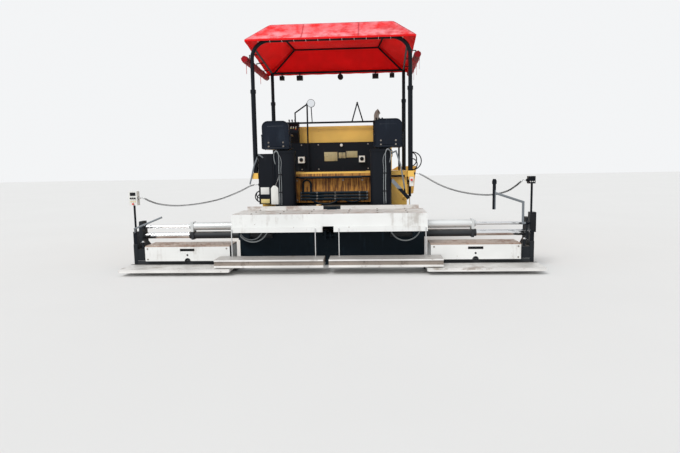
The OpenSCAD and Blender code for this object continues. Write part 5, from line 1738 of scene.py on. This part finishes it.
@dataclass
class OperatorStation:
    """Blank plates, boxes, levers, hoses and trim of the operators' platform.

    Attributes:
        dash_y: The dash's rear face.
        box_y: Rear face of the small white boxes.
        console: Middle of a steering console's sloping top, on the right.
        column_route: A hose's route up the right seat column and over its top.
        hose_side: How far the thin hose lies beside it on the way up.
        clips_z: Undersides of the hose clips.
    """

    dash_y: float = -0.880
    box_y: float = -0.970
    console: Point = (0.850, -0.910, 2.360)
    column_route: Sequence[Point] = (
        (0.905, -2.046, 0.950), (0.902, -2.064, 0.975), (0.900, -2.067, 1.05), (0.897, -2.067, 1.30),
        (0.902, -2.067, 1.55), (0.898, -2.067, 1.74), (0.906, -2.079, 1.830), (0.934, -2.084, 1.868),
        (0.966, -2.074, 1.850), (0.984, -2.048, 1.785), (0.980, -2.034, 1.70), (0.962, -2.026, 1.64))
    hose_side: float = 0.034
    clips_z: Sequence[float] = (1.16, 1.46)

    def build(self) -> None:
        """Makes every fitting of the platform."""
        self.plates()
        self.boxes()
        self.consoles()
        self.hoses()
        self.trim()

    def plates(self) -> None:
        """Makes the blank plates of the dash and of the left cabinet."""
        plates = [block("plate", (x0, self.dash_y - 0.004, z0), (x1, self.dash_y + 0.0005, z1), 0.002)
                  for x0, x1, z0, z1 in ((-0.230, 0.020, 1.690, 1.860), (0.045, 0.175, 1.742, 1.848),
                                         (0.185, 0.400, 1.752, 1.872))]
        fit("dash_plates", plates, "tractor", TAN_LABEL)
        for name, rear_y, front_y, low_z, high_z, finish in (
                ("cabinet_plate_pale", -2.0015, -1.9975, 1.135, 1.255, PALE_PLASTIC),
                ("cabinet_plate_warm", -1.9940, -1.9895, 0.982, 1.054, LABEL)):
            plate = block(name, (-1.238, rear_y, low_z), (-1.090, front_y, high_z), 0.002)
            hand_over(plate, "tractor", finish)
        self.tag()
        bolts("dash_screws", [(x, self.dash_y, z) for x in (-0.90, -0.66, -0.34, 0.60, 0.88)
                              for z in (1.54, 2.00)], Facing.REAR, 0.009, "tractor")

    def tag(self) -> None:
        """Makes the blank tag with cut corners that hangs by its string beside the left column."""
        low, high = (-1.050, -2.0585, 0.965), (-0.925, -2.0555, 1.285)
        card = slab_block("tag", low, high)
        bevel_edges(card, lambda a, b: min(a.z, b.z) > high[2] - 0.001 and abs(a.y - b.y) > 0.001,
                    0.042, 1)
        rounded(card, 0.0008)
        middle = (low[0] + high[0]) / 2
        eyelet = disc("eyelet", (middle, low[1], 1.258), Facing.REAR, 0.009, 0.0012)
        loop = ((0.0, -2.0598, 1.258), (0.03, -2.0600, 1.31), (0.065, -2.0615, 1.40),
                (0.072, -2.0600, 1.425), (0.060, -2.0620, 1.38), (0.004, -2.0600, 1.262))
        string = bent_tube("string", [(middle + x, y, z) for x, y, z in loop], 0.0014, sides=1)
        fit("hanging_tag", [card, eyelet, string], "tractor", PALE_PLASTIC)

    def boxes(self) -> None:
        """Makes the round faces of the white boxes and the pale knob's cap."""
        faces: list[Piece] = []
        for x in (-0.660, 0.485):
            faces += [disc("face", (x, self.box_y, 1.722), Facing.REAR, 0.036, 0.010, 0.005),
                      disc("button", (x, self.box_y, 1.722), Facing.REAR, 0.014, 0.016)]
        fit("box_faces", faces, "tractor", PLASTIC)
        hand_over(disc("knob_cap", (0.100, -0.924, 1.985), Facing.REAR, 0.023, 0.008, 0.004),
                  "tractor", PALE_PLASTIC)

    def console_spot(self, sign: int, across: float, down: float) -> Vector:
        """A place on a console's sloping top, from its middle.

        Args:
            sign: 1 for the right console.
            across: How far out from its middle.
            down: How far down the slope.

        Returns:
            The place.
        """
        x, y, z = self.console
        drop = down * SLANT.z
        return Vector((sign * (x + across), y - drop, z - drop))

    def consoles(self) -> None:
        """Makes the levers and buttons on the sloping tops of both consoles."""
        for side, sign in SIDES.items():
            dark: list[Piece] = []
            for k in range(3):
                foot = self.console_spot(sign, -0.09 + 0.055 * k, -0.03)
                dark += [post("gaiter", foot, SLANT, -0.001, 0.020, 0.020, 20, tip=0.010),
                         post("stem", foot, SLANT, 0.018, 0.085, 0.005, 12),
                         post("grip", foot, SLANT, 0.080, 0.125, 0.012, 16, edge=0.005, tip=0.015)]
            foot = self.console_spot(sign, 0.09, 0.0)
            dark.append(post("wheel_hub", foot, SLANT, -0.001, 0.030, 0.030, 24, edge=0.004))
            fit(f"console_levers_{side}", dark, "tractor", PLASTIC)
            for row, (finish, count) in enumerate(((PALE_PLASTIC, 3), (LABEL, 3), (RED_KNOB, 1))):
                feet = [self.console_spot(sign, -0.10 + 0.045 * k, 0.035 + 0.030 * row)
                        for k in range(count)]
                caps = [post("cap", foot, SLANT, -0.001, 0.009, 0.011, 18, edge=0.002) for foot in feet]
                fit(f"console_caps_{row}_{side}", caps, "tractor", finish)

    def hoses(self) -> None:
        """Makes the two pale hoses that climb each column's rear face, and their clips."""
        for side, sign in SIDES.items():
            hose = bent_tube("hose", [(sign * x, y, z) for x, y, z in self.column_route], 0.0068,
                             sides=2)
            thin = bent_tube("hose", [(sign * (x - self.hose_side * (z < 1.8)), y + 0.002, z - 0.012)
                                      for x, y, z in self.column_route[:-3]], 0.0045, sides=1)
            low, high = sorted((sign * 0.850, sign * 0.920))
            clips = [block("clip", (low, -2.0765, z), (high, -2.0595, z + 0.018), 0.003)
                     for z in self.clips_z]
            fit(f"column_hoses_{side}", [hose, thin], "tractor", HOSE_GREY)
            fit(f"column_clips_{side}", clips, "tractor", PLASTIC)

    def trim(self) -> None:
        """Makes the platform's edge bar, foot mat ribs and the mirror's face."""
        hand_over(block("edge_bar", (-1.240, -1.7565, 1.392), (1.240, -1.7495, 1.425), 0.002),
                  "tractor", BLACK)
        ribs = [block("rib", (-0.560, y, 1.4995), (0.560, y + 0.012, 1.505), 0.002)
                for y in (-1.66 + 0.06 * k for k in range(12))]
        fit("foot_mat_ribs", ribs, "tractor", PLASTIC)
        hand_over(disc("mirror_face", (-0.455, -0.944, 2.770), Facing.REAR, 0.069, 0.002),
                  "tractor", MIRROR)


@dataclass
class TractorDetails:
    """Handles, latches, lamp glasses, lifting eyes and bolts of the tractor.

    Attributes:
        hood_hw: Half width of the hood.
        hood_top_z: Height of its roof.
        door_y: Where the engine doors' handles and latches are.
        handle_out: How far a handle stands out.
        cabinet_hw: Distance of the cabinets' outer faces from the middle.
        eye: Radius of a lifting eye.
        panel_y: The rear panel's face.
        pipes_y: Where the pipes run.
        lamp_table: Middle, half width and height of each boxy lamp.
        lamp_top: Height of the lamps' tops.
        lamp_face: Their front faces.
    """

    hood_hw: float = 1.050
    hood_top_z: float = 2.350
    door_y: float = 0.090
    handle_out: float = 0.045
    cabinet_hw: float = 1.283
    eye: float = 0.032
    panel_y: float = -1.640
    pipes_y: float = -1.6643
    lamp_table: Sequence[Point] = (
        (-1.120, 0.045, 0.080), (-0.760, 0.060, 0.090), (0.760, 0.060, 0.090), (1.090, 0.045, 0.080))
    lamp_top: float = 3.4107
    lamp_face: float = -0.080

    def build(self) -> None:
        """Makes the details of the tractor."""
        for side, sign in SIDES.items():
            self.hood_side(side, sign)
            self.cabinet(side, sign)
        self.hood_top()
        self.rear_wall()
        self.lamps()

    def hood_side(self, side: str, sign: int) -> None:
        """Makes the handle and latch of an engine door.

        Args:
            side: The side's name.
            sign: 1 on the right, -1 on the left.
        """
        x, y = sign * (self.hood_hw - 0.001), self.door_y
        bow = ((0.0, 1.760), (0.8, 1.765), (1.0, 1.800), (1.0, 1.860), (0.8, 1.895), (0.0, 1.900))
        line = [(x + sign * self.handle_out * share, y, z) for share, z in bow]
        handle = bent_tube("handle", line, 0.007)
        latch = disc("latch", (x, y, 1.690), Facing.outward(sign), 0.026, 0.008, 0.004)
        fit(f"door_handle_{side}", [handle, latch], f"engine_door_{side}", PLASTIC)

    def cabinet(self, side: str, sign: int) -> None:
        """Makes a cabinet's latches and its bolts.

        Args:
            side: The side's name.
            sign: 1 on the right, -1 on the left.
        """
        facing = Facing.outward(sign)
        x = sign * self.cabinet_hw
        latches = [disc("latch", (x, y, 1.300), facing, 0.022, 0.007, 0.003)
                   for y in (-0.78, -0.17, 0.36)]
        fit(f"cabinet_latches_{side}", latches, "tractor", PLASTIC)
        rows = [(x, y, z) for y in (-1.02, -0.54, -0.41, 0.07, 0.20, 0.52) for z in (0.84, 1.34)]
        bolts(f"cabinet_bolts_{side}", rows, facing, 0.010, "tractor")

    def hood_top(self) -> None:
        """Makes the lifting eyes and the bolts of the hood."""
        eyes: list[Piece] = []
        for x in (-0.90, 0.90):
            for y in (-0.50, 0.80):
                foot = Vector((x, y, self.hood_top_z))
                ring = [(x, y + self.eye * math.cos(turn), foot.z + 0.042 + self.eye * math.sin(turn))
                        for turn in (math.tau * step / 10 for step in range(10))]
                eyes += [bent_tube("eye", ring, 0.009, cyclic=True),
                         post("foot", foot, UP, -0.0005, 0.016, 0.022, 20, edge=0.003)]
        fit("lifting_eyes", eyes, "tractor", WORN_STEEL)
        rows = [(x, y, self.hood_top_z) for x in (-1.0, 1.0)
                for y in (-0.70, -0.30, 0.10, 0.50, 0.90)]
        bolts("hood_bolts", rows, Facing.UP, 0.010, "tractor")

    def rear_wall(self) -> None:
        """Makes the bolts of the rear panel and the unions of the pipes."""
        rows = [(x, self.panel_y, z) for x in (-0.66, -0.52, 0.16, 0.50, 0.66) for z in (1.00, 1.35)]
        bolts("rear_panel_bolts", rows, Facing.REAR, 0.011, "tractor")
        y = self.pipes_y
        nuts = [rod("union", (x - 0.014, y, z), (x + 0.014, y, z), 0.0262, 6, edge=0.001)
                for x in (-0.585, -0.30, 0.02, 0.45, 0.585) for z in (1.020, 1.075, 1.130)]
        fit("pipe_unions", nuts, "tractor", WORN_STEEL)

    def lamps(self) -> None:
        """Makes the rims, rear screws and glasses of the canopy's work lamps."""
        rims: list[Piece] = []
        glasses: list[Piece] = []
        face, top = self.lamp_face, self.lamp_top
        for x, half, tall in self.lamp_table:
            low = top - tall
            rims.append(block("rim", (x - half - 0.002, face - 0.005, low - 0.002),
                              (x + half + 0.002, face + 0.007, top + 0.002), 0.004))
            glasses.append(block("glass", (x - half + 0.010, face + 0.005, low + 0.010),
                                 (x + half - 0.010, face + 0.011, top - 0.010), 0.002))
            rims += [rod("screw", (side, face - 0.0835, top - 0.02), (side, face - 0.079, top - 0.02),
                         0.006, 12, edge=0.001) for side in (x - half * 0.5, x + half * 0.5)]
        drum = (0.060, face, top - 0.045)
        rims.append(disc("rim", drum, Facing.FRONT, 0.054, 0.008, 0.004))
        glasses.append(disc("glass", drum, Facing.FRONT, 0.042, 0.007))
        fit("lamp_rims", rims, "canopy", PLASTIC)
        fit("lamp_glasses", glasses, "canopy", LENS)


@dataclass
class ScreedDetails:
    """Bolts and toothed edges of the screed and its walkways.

    Attributes:
        deck_z: Top of the deck.
        walk_y: Rear face of the central walkway.
        extension_y: Rear face of the extensions' walkways.
        box_y: Rear face of the extension boxes.
        end_x: Distance of the end plates' outer faces from the middle.
        pitch: Distance between teeth.
        tooth_margin: Distance of the first tooth from the strip's end.
    """

    deck_z: float = 0.880
    walk_y: float = -3.360
    extension_y: float = -3.400
    box_y: float = -2.990
    end_x: float = 3.110
    pitch: float = 0.030
    tooth_margin: float = 0.020

    def build(self) -> None:
        """Makes the details of the screed."""
        rows = [(sign * x, y, self.deck_z) for sign in (-1, 1) for x in (0.30, 0.75, 1.20)
                for y in (-2.26, -2.60, -2.94)]
        bolts("deck_bolts", rows, Facing.UP, 0.011, "screed")
        self.teeth("walkway_teeth_left", -1.700, -0.060, self.walk_y, 0.130, "screed")
        self.teeth("walkway_teeth_right", 0.020, 1.700, self.walk_y, 0.130, "screed")
        for side, sign in SIDES.items():
            body = f"extension_{side}"
            low, high = sorted((sign * 1.470, sign * 3.140))
            self.teeth(f"extension_teeth_{side}", low, high, self.extension_y, 0.068, body)
            rows = [(sign * x, self.box_y, z) for x in (1.60, 2.86) for z in (0.190, 0.355)]
            bolts(f"extension_bolts_{side}", rows, Facing.REAR, 0.009, body)
            rows = [(sign * self.end_x, y, z) for y in (-2.85, -2.62, -2.40) for z in (0.10, 0.34)]
            bolts(f"end_plate_bolts_{side}", rows, Facing.outward(sign), 0.016, body)

    def teeth(self, name: str, low_x: float, high_x: float, y: float, z: float, body: str) -> None:
        """Makes a bright toothed strip along a walkway's rear edge.

        Args:
            name: The piece's name.
            low_x: Where it starts.
            high_x: Where it ends.
            y: The face that it lies on.
            z: Middle of its height.
            body: The body that it rides on.
        """
        strip = block("strip", (low_x + 0.004, y - 0.0035, z - 0.013),
                      (high_x - 0.004, y + 0.0005, z + 0.010), 0.001)
        clear_selection()
        bpy.ops.mesh.primitive_cone_add(vertices=3, radius1=0.013, depth=0.004, radius2=0.010,
                                        location=(0, 0, 0),
                                        rotation=(math.radians(90), math.radians(30), 0))
        tooth = settle(bpy.context.object, "tooth")
        run = high_x - low_x - 2 * self.tooth_margin
        count = int(run / self.pitch)
        middles = [low_x + self.tooth_margin + run / count * (k + 0.5) for k in range(count)]
        row = copies("teeth", tooth, [(x, y - 0.0045, z + 0.002) for x in middles])
        fit(name, [strip, row], body, BRIGHT_EDGE)


@dataclass
class ControlStands:
    """Knobs, a screen, buttons and a lid of the remote control boxes.

    Attributes:
        face_y: Rear face of the boxes.
        lid_y: Rear face of the right stand's lower box.
    """

    face_y: float = -2.920
    lid_y: float = -2.930

    def row(self, name: str, x: float, pitch: float, z: float, radius: float, depth: float,
            edge: float = 0.001) -> list[Piece]:
        """Makes three round knobs or caps side by side on a box, from x on at a pitch."""
        return [disc(name, (x + pitch * k, self.face_y, z), Facing.REAR, radius, depth, edge=edge)
                for k in range(3)]

    def build(self) -> None:
        """Makes the fittings of both stands."""
        y = self.face_y
        dark = [block("screen", (-3.120, y - 0.004, 1.190), (-3.030, y + 0.0005, 1.242), 0.002),
                block("gland_nut", (-3.012, -2.892, 1.128), (-3.000, -2.848, 1.172), 0.003),
                *self.row("knob", -3.108, 0.033, 1.152, 0.012, 0.020, 0.003)]
        fit("left_box_knobs", dark, "extension_left", PLASTIC)
        caps = self.row("cap", -3.108, 0.033, 1.100, 0.009, 0.007)
        fit("left_box_caps", caps, "extension_left", LABEL)
        hand_over(disc("stop", (-3.075, y, 1.062), Facing.REAR, 0.015, 0.020, edge=0.004),
                  "extension_left", RED_KNOB)
        dark = [*self.row("knob", 3.032, 0.028, 1.372, 0.010, 0.018, 0.002),
                disc("gland_nut", (3.010, -2.870, 1.340), Facing.LEFT, 0.024, 0.012)]
        fit("right_box_knobs", dark, "extension_right", PLASTIC)
        caps = self.row("cap", 3.032, 0.028, 1.320, 0.008, 0.006)
        fit("right_box_caps", caps, "extension_right", PALE_PLASTIC)
        lid = block("right_box_lid", (3.050, self.lid_y - 0.005, 0.585),
                    (3.120, self.lid_y + 0.0005, 0.835), 0.004)
        hand_over(lid, "extension_right", PLASTIC)


# Finishes of the CAD nodes


WIDE = 9.0


def zone(finish: Finish, **limits: tuple[float, float]) -> Zone:
    """A zone between limits on the named axes, and open along the others."""
    spans = [limits.get(axis, (-WIDE, WIDE)) for axis in "xyz"]
    return Zone(tuple(low for low, _ in spans), tuple(high for _, high in spans), finish)


class Wardrobe:
    """Dresses every CAD node.

    Attributes:
        plain: The finish of each node that has only one.
        sided: The same for nodes that come in a left and a right one.
    """

    plain: dict[str, Finish] = {
        "main_frame": DARK_STEEL, "engine_block": CAST_IRON, "exhaust": WORN_STEEL,
        "slat_conveyor": WORN_STEEL, "push_beam": DARK_STEEL, "tow_brackets": DARK_STEEL,
        "handrails": BLACK, "hydraulic_pipes": BLUE_BLACK, "auger_beam": BLUE_BLACK,
        "canopy_posts": BLACK, "canopy_frame": BLACK, "work_lamps": PLASTIC, "tow_arms": DARK_STEEL,
        "canopy_sheet": RED_FABRIC, "rolled_awnings": DARK_RED, "rear_panel": OCHRE,
        "screed_body": BLUE_BLACK}
    sided: dict[str, Finish] = {
        "track": TRACK_STEEL, "track_frame": DARK_STEEL, "engine_door": YELLOW,
        "hopper_wing": HOPPER_YELLOW, "wing_barrel": BLACK, "wing_rod": CHROME,
        "push_roller": WORN_STEEL, "seat": SEAT_SHELL,
        "auger": WORN_STEEL, "lift_barrel": BLACK, "lift_rod": CHROME, "seat_cushions": SEAT_VINYL,
        "curly_cord": RUBBER}

    def build(self) -> None:
        """Dresses the nodes with one finish, then those with several."""
        for node, finish in self.plain.items():
            dress_node(node, finish)
        for node, finish in self.sided.items():
            for side in SIDES:
                dress_node(f"{node}_{side}", finish)
        self.tractor()
        self.screed()
        for side, sign in SIDES.items():
            self.extension(side, sign)

    def tractor(self) -> None:
        """Dresses the tractor's nodes that carry several finishes."""
        dress_node("engine_hood", YELLOW, [
            zone(BLACK, x=(-0.72, 0.72), y=(-0.16, 0.62), z=(2.3505, 2.5))])
        for side in SIDES:
            dress_node(f"side_cabinet_{side}", YELLOW, [zone(DARK_STEEL, z=(0.0, 0.80))])
        dress_node("hopper_bed", DARK_STEEL, [zone(WORN_STEEL, y=(1.0, 3.0), z=(0.49, 0.56))])
        dress_node("platform", YELLOW, [
            zone(YELLOW_TREAD, z=(1.4985, 1.51)),
            zone(OCHRE, x=(-1.0, 1.0), y=(-1.76, -1.7495), z=(1.3, 1.47)),
            zone(PALE_PLASTIC, x=(1.29, 1.38), y=(-2.006, -1.944), z=(1.2, 1.3995)),
            zone(RED_KNOB, x=(1.3, 1.37), y=(-2.04, -2.0052), z=(1.3, 1.38)),
            zone(PLASTIC, x=(1.3755, 1.41))])
        dress_node("dash_console", BLACK, [
            zone(PALE_PLASTIC, x=(0.05, 0.15), y=(-0.95, -0.8805), z=(1.95, 2.02)),
            zone(PALE_PLASTIC, x=(-0.73, -0.59), y=(-0.98, -0.8805), z=(1.65, 1.79)),
            zone(PALE_PLASTIC, x=(0.42, 0.55), y=(-0.98, -0.8805), z=(1.65, 1.79))])
        dress_node("seat_columns", BLACK, [
            zone(GREY_ARM, x=(-1.45, -1.160), y=(-2.10, -2.0005), z=(1.2, 1.95)),
            zone(GREY_ARM, x=(1.0010, 1.30), y=(-2.10, -1.9795), z=(1.2, 1.95)),
            zone(RUBBER, x=(-1.272, -1.2515), y=(-2.2, -1.6))])

    def screed(self) -> None:
        """Dresses the screed's nodes that carry several finishes."""
        dress_node("screed_deck", BLUE_BLACK, [
            zone(DECK_WHITE, z=(0.8595, 1.0)), zone(WHITE, y=(-3.10, -3.0095)),
            zone(HOSE_GREY, x=(-1.40, -0.92), y=(-2.95, -2.86), z=(0.40, 0.70)),
            zone(HOSE_GREY, x=(0.95, 1.40), y=(-2.95, -2.86), z=(0.40, 0.70))])
        dress_node("central_walkway", WALKWAY, [
            zone(TREAD, z=(0.2335, 0.24)), zone(BRIGHT_EDGE, z=(0.10, 0.150)),
            zone(BRIGHT_EDGE, y=(-3.37, -3.3545), z=(0.205, 0.2355)),
            zone(CHROME, z=(0.2365, 0.9))])

    def extension(self, side: str, sign: int) -> None:
        """Dresses one extension, its gear, guide and control stand.

        Args:
            side: The side's name.
            sign: 1 on the right, -1 on the left.
        """
        dress_node(f"guide_stage_{side}", SILVER, [zone(DARK_STEEL, z=(0.40, 0.5815))])
        dress_node(f"extension_{side}", WHITE, [
            zone(RUST_TREAD, z=(0.3858, 0.42)), zone(DARK_STEEL, z=(-0.01, 0.161)),
            zone(ALUMINIUM, y=(-3.41, -2.9895), z=(0.055, 0.11)),
            zone(BLACK, y=(-2.9885, -2.90), z=(0.162, 0.384))])
        inner, outer = sorted((sign * 1.99, sign * 3.045))
        dress_node(f"extension_gear_{side}", DARK_STEEL, [
            zone(CHROME, x=(inner, outer), z=(0.45, 0.72))])
        if side == "left":
            dress_node("control_stand_left", BLACK, [
                zone(PALE_PLASTIC, z=(1.0395, 1.27)), zone(GREY_ARM, y=(-3.2, -2.9405))])
        else:
            dress_node("control_stand_right", BLACK, [zone(GREY_ARM, x=(2.52, 2.99), z=(0.66, 1.20))])


def main() -> None:
    """Builds the camera and light, then every piece in order."""
    logging.basicConfig(level=logging.INFO, format="%(message)s")
    PhotoCamera().build()
    Studio().build()
    for side, route in CORD_ROUTES.items():
        CurlyCord(side, route).build()
    Wardrobe().build()
    CanopyRoof().build()
    for side in SIDES:
        for soft in (RolledAwning, SeatShell, SeatCushions):
            soft(side).build()
    for group in (OperatorStation, TractorDetails, ScreedDetails, ControlStands):
        group().build()


if __name__ == "__main__":
    main()
